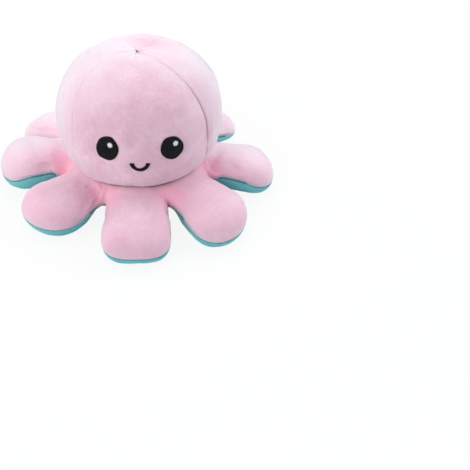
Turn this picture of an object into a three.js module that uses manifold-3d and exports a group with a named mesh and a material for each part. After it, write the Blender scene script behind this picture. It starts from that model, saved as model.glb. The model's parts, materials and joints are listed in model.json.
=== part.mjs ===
// A reversible plush octopus, standing with its smiling side out.
// Millimetres, +Z up. The face looks along -Y. The origin is on the floor, under the middle of the toy.
// The head is a padded dome with a hollow pocket below it. A second face waits on the pocket's lining,
// and shows when the dome is pushed out through the pocket's mouth. Eight padded arms bend on a collar.
import * as THREE from "three";
import { mergeVertices } from "three/addons/utils/BufferGeometryUtils.js";
import Module from "manifold-3d";

const wasm = await Module();
wasm.setup();

// Cloth and fit
const PLUSH = 1.4; // thickness of the short-pile cloth
const SEAM_GAP = 0.3; // clearance between pieces that are sewn or packed together
const SOCKET_CLEARANCE = 0.9; // between an arm's round root and the hollow that it turns in

// Head, outside
const HEAD_RADIUS = 58.5;
const EQUATOR_HEIGHT = 53.5; // height of the head's widest ring
const DOME_RISE = 58; // from the widest ring up to the crown
const DOME_DROP = 40.5; // from the widest ring down to where the dome would close
const NECK_RADIUS = 44; // the crease where the head is sewn to the collar
const PANEL_BULGE = 2.2; // how far a panel swells out between its seams
const CROWN_DIMPLE = 3.4; // how far the crown is drawn in where the seams meet
const DIMPLE_SPREAD = 17; // degrees of the dome that the dimple draws in
const CROWN_KNOT_RADIUS = 1.2; // the knot of stitches that the panel tips end at
const HEAD_PANELS = [
  { name: "front", from: -52, to: 57 }, // bearings of the panel's two seams, in degrees
  { name: "right", from: 57, to: 145 },
  { name: "back", from: 145, to: 216 },
  { name: "left", from: 216, to: 308 },
];

// Pocket inside the head
const POCKET_RADIUS = 30;
const POCKET_EQUATOR_HEIGHT = 42;
const POCKET_RISE = 42;
const MOUTH_RADIUS = 27;
const MOUTH_HEIGHT = 9;

// Collar, the ring of cloth and filling between the head and the arms
const WEB_RADIUS = 57; // where the cleft between two arms begins
const WEB_HEIGHT = 12.2; // height of the edge seam in the cleft
const FOOT_OUTER_RADIUS = 41; // the flat ring that the collar stands on
const FOOT_INNER_RADIUS = 34;

// Arms
const HINGE_RADIUS = 58; // from the toy's axis to where an arm bends
const HINGE_HEIGHT = 13.5;
const ARM_ROOT_HALF_WIDTH = 19;
const ARM_ROOT_HALF_THICKNESS = 13;
const ARM_REACH = 100; // from the toy's axis to an arm's tip
const ARM_HALF_WIDTH = 24;
const ARM_UPPER_THICKNESS = 18.4; // from the edge seam up to the top, where the arm is widest
const SLIM_ARM_REACH = 94; // the same sizes on the two less stuffed arms beside the rear one
const SLIM_ARM_HALF_WIDTH = 19.5;
const SLIM_ARM_UPPER_THICKNESS = 14;
const SLIM_ARM_SWAY = 11; // how far the tip of one of them is pushed sideways
const END_LENGTH_SHARE = 0.875; // length of an arm's round end, as a share of its half width
const TIP_SEAM_HEIGHT = 10.5; // height of the edge seam at the tip
const FLATTENING = 0.5; // how deep the floor presses an arm's underside flat
const SECTION_POWER = 2.4; // roundness of an arm's section: 2 is an ellipse, more is squarer
const END_POWER = 0.8; // fullness of the round end, seen from the side
const FULL = { reach: ARM_REACH, halfWidth: ARM_HALF_WIDTH, upperThickness: ARM_UPPER_THICKNESS, sway: 0 };
const SLIM = {
  reach: SLIM_ARM_REACH,
  halfWidth: SLIM_ARM_HALF_WIDTH,
  upperThickness: SLIM_ARM_UPPER_THICKNESS,
  sway: 0,
};
const TIP_TWIST_SHARE = 0.55; // how much of an arm's twist is left at its tip
// A bearing is in degrees from the front (-Y) towards +X. A twist, in degrees, lifts the near edge.
const ARMS = [
  { name: "front", bearing: 0, twist: 0, ...FULL },
  { name: "front_right", bearing: 43.5, twist: -5, ...FULL },
  { name: "right", bearing: 87, twist: -13, ...FULL },
  { name: "back_right", bearing: 132, twist: -4, ...SLIM },
  { name: "back", bearing: 182, twist: 0, ...FULL },
  { name: "back_left", bearing: 230.5, twist: 8, ...SLIM, sway: SLIM_ARM_SWAY },
  { name: "left", bearing: 271, twist: 17, ...FULL },
  { name: "front_left", bearing: 312.5, twist: 6, ...FULL },
];

// Embroidery, each shape measured from its own middle
const STITCH_THICKNESS = 0.9;
const STITCH_STANDOFF = 0.45; // the cloth's pile that the stitches lie on
const FACE_BEARING = 1.4; // the face sits a little off the front
const EYE = { bearing: 22.4, height: 68.2, halfWidth: 7.8, halfHeight: 8.5, lean: 13 };
const GLINT = { radius: 1.95, across: 2.1, up: 2.4 };
const SMILE = { height: 59.3, radius: 6.1, stroke: 2.1 };
const CROSS_EYE = { bearing: 37, height: 52, halfWidth: 7.6, drop: 8.4, brow: 5.4, browSlope: 0.24 };
const CROSS_GLINT = { radius: 1.95, across: 2.1, up: 1 };
const FROWN = { height: 34, radius: 6.4, stroke: 2.3 };
const STROKE_END_TURN = 82; // degrees that a mouth's curve runs to either side of its middle

// How finely the curved surfaces are stepped
const PANEL_ACROSS_STEPS = 5;
const HEAD_DOWN_STEPS = 9;
const POCKET_DOWN_STEPS = 6;
const COLLAR_TURNS = 24;
const ARC_STEPS = 3;
const HOLLOW_TURNS = 12;
const ARM_ACROSS_STEPS = 6;
const ROOT_TURNS = [0, 45, 90]; // degrees round the root
const REACH_SHARES = [0.35, 0.7, 1]; // of the way from the hinge to the round end
const END_TURNS = [25, 45, 63, 78, 90]; // degrees round the end
const PATCH_STEPS = { across: 8, up: 3 };
const STROKE_STEPS = { across: 2, along: 8 };
const MERGE_DISTANCE = 0.001; // points closer than this are one point

const degrees = Math.PI / 180;
const quarterTurn = Math.PI / 2;
const clamp01 = (t) => Math.min(1, Math.max(0, t));
const smooth = (t) => clamp01(t) ** 2 * (3 - 2 * clamp01(t));
const mix = (a, b, t) => a + (b - a) * t;
const shares = (steps) => Array.from({ length: steps + 1 }, (_, i) => i / steps);

const cloth = (color) => new THREE.MeshStandardMaterial({ color, roughness: 0.92, metalness: 0 });
const thread = (color) => new THREE.MeshStandardMaterial({ color, roughness: 0.6, metalness: 0 });
const pinkPlush = cloth(0xf2bccf);
const tealPlush = cloth(0x5fcfc8);
const fibreFilling = cloth(0xf6f4ef);
const blackThread = thread(0x18181b);
const whiteThread = thread(0xf4f4f4);

// The point at a bearing, in degrees from the front, and at a distance from the toy's axis.
function around(bearing, radius, height) {
  const turn = bearing * degrees;
  return new THREE.Vector3(radius * Math.sin(turn), -radius * Math.cos(turn), height);
}

// Makes loose triangles one closed surface that faces outwards, and drops those with no area.
function closedGeometry(triangles) {
  const loose = new THREE.BufferGeometry();
  const coordinates = new Float32Array(triangles.flat().flatMap((p) => [p.x, p.y, p.z]));
  loose.setAttribute("position", new THREE.BufferAttribute(coordinates, 3));
  const merged = mergeVertices(loose, MERGE_DISTANCE);
  const index = merged.index.array;
  const point = (i) => new THREE.Vector3().fromBufferAttribute(merged.attributes.position, i);
  const kept = [];
  let volume = 0;
  for (let i = 0; i < index.length; i += 3) {
    const [a, b, c] = [index[i], index[i + 1], index[i + 2]];
    if (a === b || b === c || a === c) continue;
    kept.push(a, b, c);
    volume += point(a).dot(point(b).cross(point(c)));
  }
  merged.setIndex(volume < 0 ? kept.reverse() : kept);
  return merged;
}

const quad = (a, b, c, d) => [
  [a, b, c],
  [a, c, d],
];

// A closed curved slab between two sheets, face(u, v) and back(u, v). Where both sheets share an
// edge, the rim there closes by itself.
function slab(face, back, us, vs) {
  const front = vs.map((v) => us.map((u) => face(u, v)));
  const rear = vs.map((v) => us.map((u) => back(u, v)));
  const triangles = [];
  const lastU = us.length - 1;
  const lastV = vs.length - 1;
  for (let j = 0; j < lastV; j++) {
    const [f, fNext, r, rNext] = [front[j], front[j + 1], rear[j], rear[j + 1]];
    for (let i = 0; i < lastU; i++) {
      triangles.push(...quad(f[i], f[i + 1], fNext[i + 1], fNext[i]));
      triangles.push(...quad(r[i], rNext[i], rNext[i + 1], r[i + 1]));
    }
    triangles.push(...quad(f[0], fNext[0], rNext[0], r[0]));
    triangles.push(...quad(f[lastU], r[lastU], rNext[lastU], fNext[lastU]));
  }
  for (let i = 0; i < lastU; i++) {
    triangles.push(...quad(front[0][i], rear[0][i], rear[0][i + 1], front[0][i + 1]));
    triangles.push(...quad(front[lastV][i], front[lastV][i + 1], rear[lastV][i + 1], rear[lastV][i]));
  }
  return closedGeometry(triangles);
}

// A solid round the toy's axis, from the closed outline of points that each bearing has.
function turned(bearings, outlineAt) {
  const rings = bearings.map(outlineAt);
  const triangles = [];
  rings.forEach((ring, i) => {
    const next = rings[(i + 1) % rings.length];
    ring.forEach((p, j) => {
      const k = (j + 1) % ring.length;
      triangles.push(...quad(p, next[j], next[k], ring[k]));
    });
  });
  return closedGeometry(triangles);
}

function toSolid(geometry) {
  const vertProperties = geometry.attributes.position.array;
  const triVerts = new Uint32Array(geometry.index.array);
  return new wasm.Manifold(new wasm.Mesh({ numProp: 3, vertProperties, triVerts }));
}

function toGeometry(solid) {
  const mesh = solid.getMesh();
  const geometry = new THREE.BufferGeometry();
  geometry.setAttribute("position", new THREE.BufferAttribute(mesh.vertProperties, 3));
  geometry.setIndex(new THREE.BufferAttribute(mesh.triVerts, 1));
  return geometry;
}

function piece(name, geometry, material) {
  const mesh = new THREE.Mesh(geometry, material);
  mesh.name = name;
  return mesh;
}

// How far a head panel has swollen at a bearing: 0 on its seams and 1 midway between them.
function swelling(bearing) {
  const turn = (angle) => ((angle % 360) + 360) % 360;
  const panel = HEAD_PANELS.find(({ from, to }) => turn(bearing - from) <= to - from);
  const share = turn(bearing - panel.from) / (panel.to - panel.from);
  return Math.sqrt(4 * share * (1 - share));
}

// The head's surface. polar is in degrees down from the crown, and inset is measured inwards.
function headPoint(bearing, polar, inset) {
  const down = polar * degrees;
  const semiHeight = Math.cos(down) > 0 ? DOME_RISE : DOME_DROP;
  const towardsNeck = clamp01((polar - 90) / (NECK_POLAR - 90));
  const bulge = PANEL_BULGE * swelling(bearing) * Math.sin(down) ** 2 * (1 - towardsNeck ** 2);
  const dimple = CROWN_DIMPLE * Math.exp(-((polar / DIMPLE_SPREAD) ** 2));
  const radius = (HEAD_RADIUS - PANEL_BULGE + bulge - inset) * Math.sin(down);
  const height = EQUATOR_HEIGHT + (semiHeight + bulge - inset) * Math.cos(down) - dimple;
  return around(bearing, radius, height);
}

// The pocket's surface. inset is measured into the padding, away from the hollow.
function pocketPoint(bearing, polar, inset) {
  const down = polar * degrees;
  const semiHeight = Math.cos(down) > 0 ? POCKET_RISE + inset : POCKET_DROP;
  const height = POCKET_EQUATOR_HEIGHT + semiHeight * Math.cos(down);
  return around(bearing, (POCKET_RADIUS + inset) * Math.sin(down), height);
}

const polarAt = (radius, fullRadius) => Math.asin(radius / fullRadius) / degrees;
const NECK_POLAR = 180 - polarAt(NECK_RADIUS, HEAD_RADIUS - PANEL_BULGE);
const NECK_HEIGHT = EQUATOR_HEIGHT + DOME_DROP * Math.cos(NECK_POLAR * degrees);
const MOUTH_POLAR = 180 - polarAt(MOUTH_RADIUS, POCKET_RADIUS);
const POCKET_DROP = (MOUTH_HEIGHT - POCKET_EQUATOR_HEIGHT) / Math.cos(MOUTH_POLAR * degrees);

// The rings that the head and the pocket are stepped at, in degrees down from the crown.
const ringPolars = (knot, end, steps) => shares(steps).map((share) => mix(knot, end, share));
const headPolars = ringPolars(polarAt(CROWN_KNOT_RADIUS, HEAD_RADIUS), NECK_POLAR, HEAD_DOWN_STEPS);
const pocketPolars = ringPolars(polarAt(CROWN_KNOT_RADIUS, POCKET_RADIUS), MOUTH_POLAR, POCKET_DOWN_STEPS);
const panelShares = shares(PANEL_ACROSS_STEPS);
const bearingsOf = ({ from, to }) => panelShares.slice(1).map((share) => mix(from, to, share));

// A panel of cloth between two seams. It stops half a gap short of each seam.
function panelOf(pointAt, fullRadius, polars, { from, to }) {
  const sheet = (inset) => (share, polar) => {
    const radius = (fullRadius - inset) * Math.sin(polar * degrees);
    const margin = polarAt(SEAM_GAP / 2, radius);
    return pointAt(mix(from + margin, to - margin, share), polar, inset);
  };
  return slab(sheet(0), sheet(PLUSH), panelShares, polars);
}

function headPanel(panel) {
  const geometry = panelOf(headPoint, HEAD_RADIUS, headPolars, panel);
  return piece(`head_${panel.name}_panel`, geometry, pinkPlush);
}

function liningPanel(panel) {
  const geometry = panelOf(pocketPoint, POCKET_RADIUS, pocketPolars, panel);
  return piece(`lining_${panel.name}_panel`, geometry, tealPlush);
}

// The head's padding, between the panels outside and the pocket's lining.
function headFilling() {
  const inset = PLUSH + SEAM_GAP;
  const geometry = turned(HEAD_PANELS.flatMap(bearingsOf), (bearing) => [
    ...[0, ...headPolars].map((polar) => headPoint(bearing, polar, inset)),
    ...[...pocketPolars].reverse().map((polar) => pocketPoint(bearing, polar, inset)),
    pocketPoint(bearing, 0, inset),
  ]);
  return piece("head_filling", geometry, fibreFilling);
}

// A quarter of an ellipse in the outline of a turned piece, as [radius, height].
function arc(centre, reach, fromTurn, toTurn) {
  return shares(ARC_STEPS).map((share) => {
    const turn = mix(fromTurn, toTurn, share) * quarterTurn;
    return [centre[0] + reach[0] * Math.sin(turn), centre[1] + reach[1] * Math.cos(turn)];
  });
}

function collarTopCurve(inset) {
  const centre = [NECK_RADIUS, WEB_HEIGHT + SEAM_GAP / 2];
  const rise = NECK_HEIGHT - SEAM_GAP - centre[1] - inset;
  return arc(centre, [WEB_RADIUS - NECK_RADIUS - inset, rise], 0, 1);
}

function collarUnderCurve(inset) {
  const outer = [FOOT_OUTER_RADIUS, WEB_HEIGHT - SEAM_GAP / 2];
  const inner = [FOOT_INNER_RADIUS, MOUTH_HEIGHT - SEAM_GAP];
  return [
    ...arc(outer, [WEB_RADIUS - outer[0] - inset, outer[1] - inset], 1, 2),
    ...arc(inner, [inner[0] - MOUTH_RADIUS - inset, inner[1] - inset], 2, 3),
  ];
}

// Half of an arm's section: share 0 to 1 goes from one edge seam over to the other.
function section(share, halfWidth, halfThickness) {
  const turn = Math.PI * share;
  const power = 2 / SECTION_POWER;
  const across = -halfWidth * Math.sign(Math.cos(turn)) * Math.abs(Math.cos(turn)) ** power;
  return [across, halfThickness * Math.sin(turn) ** power];
}

// The hollow in the collar that an arm's round root turns in.
function hollow({ bearing }) {
  const halfWidth = ARM_ROOT_HALF_WIDTH + SOCKET_CLEARANCE;
  const halfThickness = ARM_ROOT_HALF_THICKNESS + SOCKET_CLEARANCE;
  const profile = shares(ARM_ACROSS_STEPS).map((share) => {
    const [across, radius] = section(share, halfWidth, halfThickness);
    return new THREE.Vector2(share === 0 || share === 1 ? 0 : radius, across);
  });
  const lathe = new THREE.LatheGeometry(profile, HOLLOW_TURNS).toNonIndexed();
  lathe.translate(HINGE_RADIUS, 0, HINGE_HEIGHT);
  lathe.rotateZ((bearing - 90) * degrees);
  const positions = lathe.attributes.position;
  const point = (i) => new THREE.Vector3().fromBufferAttribute(positions, i);
  const triangles = [];
  for (let i = 0; i < positions.count; i += 3) triangles.push([point(i), point(i + 1), point(i + 2)]);
  return toSolid(closedGeometry(triangles));
}

const hollows = ARMS.map(hollow);
const collarBearings = shares(COLLAR_TURNS)
  .slice(1)
  .map((share) => share * 360);

// A ring of the collar, from its outline of [radius, height], with the arms' hollows cut out.
function collarRing(name, outline, material) {
  const outlineAt = (bearing) => outline.map(([radius, height]) => around(bearing, radius, height));
  const ring = turned(collarBearings, outlineAt);
  const cut = hollows.reduce((solid, hole) => solid.subtract(hole), toSolid(ring));
  return piece(name, toGeometry(cut), material);
}

function collar() {
  const inset = PLUSH + SEAM_GAP;
  const top = [...collarTopCurve(0), ...collarTopCurve(PLUSH).reverse()];
  const underside = [...collarUnderCurve(0), ...collarUnderCurve(PLUSH).reverse()];
  const filling = [...collarTopCurve(inset), ...collarUnderCurve(inset)];
  return [
    collarRing("collar_top", top, pinkPlush),
    collarRing("collar_underside", underside, tealPlush),
    collarRing("collar_filling", filling, fibreFilling),
  ];
}

// Where a row of an arm lies: its distance out from the hinge, and how much of its width and
// thickness is left there.
function armRow({ reachShare, endTurn }, inset, straight, endLength) {
  if (endTurn === undefined) return { out: straight * reachShare, left: 1 };
  const turn = endTurn * degrees;
  return { out: straight + (endLength - inset) * Math.sin(turn), left: Math.max(Math.cos(turn), 0) };
}

// How much of an arm's twist there is at a share of its length.
function twistShare(outShare) {
  return smooth(outShare / 0.4) * mix(1, TIP_TWIST_SHARE, smooth((outShare - 0.5) / 0.5));
}

// A point of one side of an arm, in the arm's own frame: +X points out along the arm and Y along its
// hinge. side is 1 on the top and -1 on the underside.
function armPoint(share, row, side, inset, { twist, reach, halfWidth, upperThickness, sway }) {
  const rootHalfWidth = ARM_ROOT_HALF_WIDTH - inset;
  const rootHalfThickness = ARM_ROOT_HALF_THICKNESS - inset;
  if (row.rootTurn !== undefined) {
    const [across, radius] = section(share, rootHalfWidth, rootHalfThickness);
    const turn = row.rootTurn * degrees;
    const height = HINGE_HEIGHT + side * radius * Math.sin(turn);
    return new THREE.Vector3(HINGE_RADIUS - radius * Math.cos(turn), across, height);
  }
  const endLength = halfWidth * END_LENGTH_SHARE;
  const straight = reach - endLength - HINGE_RADIUS;
  const { out, left } = armRow(row, inset, straight, endLength);
  const flare = smooth(out / straight);
  const outShare = out / (reach - HINGE_RADIUS);
  const seamHeight = mix(HINGE_HEIGHT, TIP_SEAM_HEIGHT, outShare);
  const fullThickness = side > 0 ? upperThickness : seamHeight + FLATTENING;
  const width = mix(rootHalfWidth, halfWidth - inset, flare) * left;
  const thickness = mix(rootHalfThickness, fullThickness - inset, flare) * left ** END_POWER;
  const [across, radius] = section(share, width, thickness);
  const rise = side * radius;
  const roll = twist * degrees * twistShare(outShare);
  const y = across * Math.cos(roll) - rise * Math.sin(roll) + sway * outShare ** 2;
  const z = seamHeight + rise * Math.cos(roll) + across * Math.sin(roll);
  return new THREE.Vector3(HINGE_RADIUS + out, y, z);
}

// One side of an arm as a sheet. Covers keep half a gap to the seam, and nothing goes below the floor.
function armSheet(side, inset, sizes, seamMargin) {
  return (share, row) => {
    const point = armPoint(share, row, side, inset, sizes);
    point.z = Math.max(point.z + side * seamMargin, inset);
    return point;
  };
}

const armRows = [
  ...ROOT_TURNS.map((rootTurn) => ({ rootTurn })),
  ...REACH_SHARES.map((reachShare) => ({ reachShare })),
  ...END_TURNS.map((endTurn) => ({ endTurn })),
];

function arm({ name, bearing, ...sizes }) {
  const across = shares(ARM_ACROSS_STEPS);
  const cover = (side) => {
    const [face, back] = [0, PLUSH].map((inset) => armSheet(side, inset, sizes, SEAM_GAP / 2));
    return slab(face, back, across, armRows);
  };
  const [upper, lower] = [1, -1].map((side) => armSheet(side, PLUSH + SEAM_GAP, sizes, 0));
  const group = new THREE.Group();
  group.rotation.z = (bearing - 90) * degrees;
  group.add(
    piece(`${name}_arm_top`, cover(1), pinkPlush),
    piece(`${name}_arm_underside`, cover(-1), tealPlush),
    piece(`${name}_arm_filling`, slab(upper, lower, across, armRows), fibreFilling),
  );
  return group;
}

// The point of a panel's flat facets at a bearing and a polar, as its mesh has them.
function facetPoint(pointAt, { from, to }, polars, bearing, polar, inset) {
  const column = ((bearing - from) / (to - from)) * PANEL_ACROSS_STEPS;
  const i = Math.floor(column);
  const j = polars.findLastIndex((ring) => ring <= polar);
  const [s, t] = [column - i, (polar - polars[j]) / (polars[j + 1] - polars[j])];
  const node = (di, dj) => pointAt(mix(from, to, (i + di) / PANEL_ACROSS_STEPS), polars[j + dj], inset);
  const corner = s > t ? node(1, 0) : node(0, 1);
  const along = node(0, 0).multiplyScalar(1 - Math.max(s, t)).addScaledVector(corner, Math.abs(s - t));
  return along.addScaledVector(node(1, 1), Math.min(s, t));
}

// A way to lay embroidery on the front panel: place(lift)(across, up) gives the point at these
// distances from the embroidery's middle, and at that height off the cloth.
function onHead(bearing, height) {
  const polar = Math.acos((height - EQUATOR_HEIGHT) / DOME_RISE) / degrees;
  return (lift) => (across, up) => {
    const [turn, rise] = [across / HEAD_RADIUS / degrees, up / DOME_RISE / degrees];
    return facetPoint(headPoint, HEAD_PANELS[0], headPolars, bearing + turn, polar - rise, -lift);
  };
}

function onLining(bearing, height) {
  const semiHeight = height > POCKET_EQUATOR_HEIGHT ? POCKET_RISE : POCKET_DROP;
  const polar = Math.acos((height - POCKET_EQUATOR_HEIGHT) / semiHeight) / degrees;
  return (lift) => (across, up) => {
    const [turn, rise] = [across / POCKET_RADIUS / degrees, up / semiHeight / degrees];
    return facetPoint(pocketPoint, HEAD_PANELS[0], pocketPolars, bearing + turn, polar - rise, -lift);
  };
}

function leaning(place, lean) {
  const [cos, sin] = [Math.cos(lean * degrees), Math.sin(lean * degrees)];
  return (lift) => (across, up) => place(lift)(across * cos + up * sin, up * cos - across * sin);
}

function shifted(place, by, rise) {
  return (lift) => (across, up) => place(lift)(across + by, up + rise);
}

const round = (halfWidth, halfHeight) => (across) =>
  halfHeight * Math.sqrt(clamp01(1 - (across / halfWidth) ** 2));

// An embroidered shape between two outlines, from low(across) up to high(across).
function patch(name, place, [under, over], halfWidth, low, high, material) {
  const sheet = (lift) => (u, v) => {
    const across = -halfWidth * Math.cos(u * Math.PI);
    return place(lift)(across, mix(low(across), high(across), v));
  };
  const steps = [shares(PATCH_STEPS.across), shares(PATCH_STEPS.up)];
  return piece(name, slab(sheet(over), sheet(under), ...steps), material);
}

function glint(name, place, { radius, across, up }) {
  const edge = round(radius, radius);
  return patch(name, shifted(place, across, up), glintLifts, radius, (a) => -edge(a), edge, whiteThread);
}

// An embroidered mouth, bowed down for a smile (bow 1) or up for a frown (bow -1).
function mouth(name, place, { radius, stroke }, bow) {
  const sheet = (lift) => (u, v) => {
    const turn = mix(-STROKE_END_TURN, STROKE_END_TURN, v) * degrees;
    const reach = radius + (u - 1 / 2) * stroke;
    return place(lift)(reach * Math.sin(turn), -bow * reach * Math.cos(turn));
  };
  const [under, over] = stitchLifts;
  const steps = [shares(STROKE_STEPS.across), shares(STROKE_STEPS.along)];
  return piece(name, slab(sheet(over), sheet(under), ...steps), blackThread);
}

const stitchLifts = [STITCH_STANDOFF, STITCH_STANDOFF + STITCH_THICKNESS];
const glintLifts = stitchLifts.map((lift) => lift + stitchLifts[1]);
const SIDES = [
  { side: "left", sign: -1 },
  { side: "right", sign: 1 },
];

function smilingFace() {
  const rim = round(EYE.halfWidth, EYE.halfHeight);
  const eyes = SIDES.flatMap(({ side, sign }) => {
    const place = onHead(FACE_BEARING + sign * EYE.bearing, EYE.height);
    const leant = leaning(place, sign * EYE.lean);
    return [
      patch(`${side}_eye`, leant, stitchLifts, EYE.halfWidth, (a) => -rim(a), rim, blackThread),
      glint(`${side}_eye_glint`, place, GLINT),
    ];
  });
  return [...eyes, mouth("smile", onHead(FACE_BEARING, SMILE.height), SMILE, 1)];
}

function crossFace() {
  const { halfWidth, drop, brow, browSlope } = CROSS_EYE;
  const cup = round(halfWidth, drop);
  const eyes = SIDES.flatMap(({ side, sign }) => {
    const place = onLining(sign * CROSS_EYE.bearing, CROSS_EYE.height);
    const slant = (across) => brow + sign * browSlope * across;
    return [
      patch(`lining_${side}_eye`, place, stitchLifts, halfWidth, (a) => -cup(a), slant, blackThread),
      glint(`lining_${side}_glint`, place, CROSS_GLINT),
    ];
  });
  return [...eyes, mouth("frown", onLining(0, FROWN.height), FROWN, -1)];
}

const octopus = new THREE.Group();
octopus.add(...HEAD_PANELS.map(headPanel), headFilling());
octopus.add(...HEAD_PANELS.map(liningPanel));
octopus.add(...collar());
octopus.add(...smilingFace(), ...crossFace());
octopus.add(...ARMS.map(arm));

export default octopus;
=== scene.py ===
"""The looks of a reversible plush octopus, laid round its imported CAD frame.

Sizes are in millimetres, as in the part, and become metres where a mesh is laid. The face looks
along -Y. A bearing is in degrees from the front towards +X, and a polar is in degrees down from
the crown.
"""

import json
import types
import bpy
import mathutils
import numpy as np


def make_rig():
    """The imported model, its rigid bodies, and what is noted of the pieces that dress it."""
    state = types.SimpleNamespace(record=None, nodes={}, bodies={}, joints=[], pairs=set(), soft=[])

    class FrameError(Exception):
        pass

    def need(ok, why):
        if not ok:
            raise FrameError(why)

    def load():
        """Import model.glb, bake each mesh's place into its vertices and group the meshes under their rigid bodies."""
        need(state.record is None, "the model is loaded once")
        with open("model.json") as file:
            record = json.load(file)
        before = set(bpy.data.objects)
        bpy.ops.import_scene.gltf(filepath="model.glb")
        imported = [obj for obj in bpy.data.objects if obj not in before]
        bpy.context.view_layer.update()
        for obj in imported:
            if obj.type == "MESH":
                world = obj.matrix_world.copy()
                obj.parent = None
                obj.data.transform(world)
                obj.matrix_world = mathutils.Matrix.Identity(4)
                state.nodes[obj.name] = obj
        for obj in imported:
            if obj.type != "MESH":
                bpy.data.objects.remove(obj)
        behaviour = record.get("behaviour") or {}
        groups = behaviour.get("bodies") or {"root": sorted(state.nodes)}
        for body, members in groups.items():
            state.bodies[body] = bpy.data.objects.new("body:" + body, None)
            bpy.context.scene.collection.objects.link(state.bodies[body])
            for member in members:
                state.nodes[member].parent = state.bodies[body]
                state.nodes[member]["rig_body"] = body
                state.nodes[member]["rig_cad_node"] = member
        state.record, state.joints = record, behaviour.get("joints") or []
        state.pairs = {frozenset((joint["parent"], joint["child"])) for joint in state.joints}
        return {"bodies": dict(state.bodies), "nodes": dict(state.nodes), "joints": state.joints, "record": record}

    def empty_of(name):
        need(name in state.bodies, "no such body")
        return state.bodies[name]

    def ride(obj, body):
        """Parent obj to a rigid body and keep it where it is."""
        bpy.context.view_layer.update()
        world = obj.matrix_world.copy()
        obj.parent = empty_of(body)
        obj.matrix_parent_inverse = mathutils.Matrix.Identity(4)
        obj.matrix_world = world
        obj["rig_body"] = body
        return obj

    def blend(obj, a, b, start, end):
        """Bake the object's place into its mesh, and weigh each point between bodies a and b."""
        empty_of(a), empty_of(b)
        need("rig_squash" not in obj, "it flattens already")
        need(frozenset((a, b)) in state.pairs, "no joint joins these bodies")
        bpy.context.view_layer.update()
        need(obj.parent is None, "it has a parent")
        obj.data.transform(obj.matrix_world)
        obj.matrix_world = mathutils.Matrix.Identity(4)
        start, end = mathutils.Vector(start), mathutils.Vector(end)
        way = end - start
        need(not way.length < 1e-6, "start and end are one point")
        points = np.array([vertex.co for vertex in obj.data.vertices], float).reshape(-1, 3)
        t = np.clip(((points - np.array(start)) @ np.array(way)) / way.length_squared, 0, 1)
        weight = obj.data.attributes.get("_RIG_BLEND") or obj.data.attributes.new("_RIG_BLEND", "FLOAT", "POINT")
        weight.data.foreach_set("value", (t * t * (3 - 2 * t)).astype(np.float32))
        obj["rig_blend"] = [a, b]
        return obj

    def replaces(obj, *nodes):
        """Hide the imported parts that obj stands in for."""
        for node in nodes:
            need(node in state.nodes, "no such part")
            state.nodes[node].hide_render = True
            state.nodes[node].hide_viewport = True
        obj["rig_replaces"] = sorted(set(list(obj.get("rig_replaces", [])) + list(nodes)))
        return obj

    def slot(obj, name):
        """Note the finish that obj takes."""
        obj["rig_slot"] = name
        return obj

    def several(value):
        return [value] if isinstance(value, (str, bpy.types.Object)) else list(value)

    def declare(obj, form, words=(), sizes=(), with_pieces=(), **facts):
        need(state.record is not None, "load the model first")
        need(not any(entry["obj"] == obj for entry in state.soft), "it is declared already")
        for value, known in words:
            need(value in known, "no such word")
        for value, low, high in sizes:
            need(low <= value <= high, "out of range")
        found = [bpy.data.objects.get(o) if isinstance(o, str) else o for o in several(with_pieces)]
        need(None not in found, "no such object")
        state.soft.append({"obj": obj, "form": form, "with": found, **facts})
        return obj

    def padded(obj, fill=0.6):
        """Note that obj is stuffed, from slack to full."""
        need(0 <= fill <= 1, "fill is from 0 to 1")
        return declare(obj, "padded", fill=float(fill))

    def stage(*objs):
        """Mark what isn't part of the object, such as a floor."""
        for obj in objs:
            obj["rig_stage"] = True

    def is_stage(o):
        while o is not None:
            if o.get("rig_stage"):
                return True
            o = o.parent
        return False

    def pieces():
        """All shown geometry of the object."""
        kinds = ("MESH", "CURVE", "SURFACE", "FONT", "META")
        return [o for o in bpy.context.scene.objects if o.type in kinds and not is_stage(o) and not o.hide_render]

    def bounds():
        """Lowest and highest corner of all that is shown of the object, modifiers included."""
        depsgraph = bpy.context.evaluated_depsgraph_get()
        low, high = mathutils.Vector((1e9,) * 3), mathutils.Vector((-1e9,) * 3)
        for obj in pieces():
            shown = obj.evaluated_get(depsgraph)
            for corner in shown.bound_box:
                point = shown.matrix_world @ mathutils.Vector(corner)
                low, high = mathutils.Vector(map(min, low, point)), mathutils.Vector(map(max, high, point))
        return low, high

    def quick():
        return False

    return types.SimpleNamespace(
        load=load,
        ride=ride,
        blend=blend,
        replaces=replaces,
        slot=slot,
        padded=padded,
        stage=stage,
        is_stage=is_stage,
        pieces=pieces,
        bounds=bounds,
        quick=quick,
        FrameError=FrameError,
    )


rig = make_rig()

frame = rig.load()

import json
import logging
import math
from collections.abc import Callable
from dataclasses import dataclass, field, replace
from enum import Enum
from functools import partial

import bmesh
import bpy
import numpy as np
from mathutils import Matrix, Vector, noise

Array = np.ndarray
LOG = logging.getLogger("octopus")
MM = 0.001
DEGREES = math.pi / 180
BODY = "body"
PLUSH = 1.4  # thickness of the short-pile cloth
MATT = 0.12  # specular level of plush and thread
CAD_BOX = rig.bounds()


# Numbers


def clamp01(share: Array) -> Array:
    """Limits shares to between 0 and 1."""
    return np.clip(share, 0.0, 1.0)


def smooth(share: Array) -> Array:
    """Eases shares in and out between 0 and 1."""
    return clamp01(share) ** 2 * (3 - 2 * clamp01(share))


def mix(low: Array, high: Array, share: Array) -> Array:
    """Goes from one value to another by a share."""
    return low + (high - low) * share


def bell(distance: Array, spread: float) -> Array:
    """Falls from 1 at no distance to nothing well past the spread."""
    return np.exp(-((distance / spread) ** 2))


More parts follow.
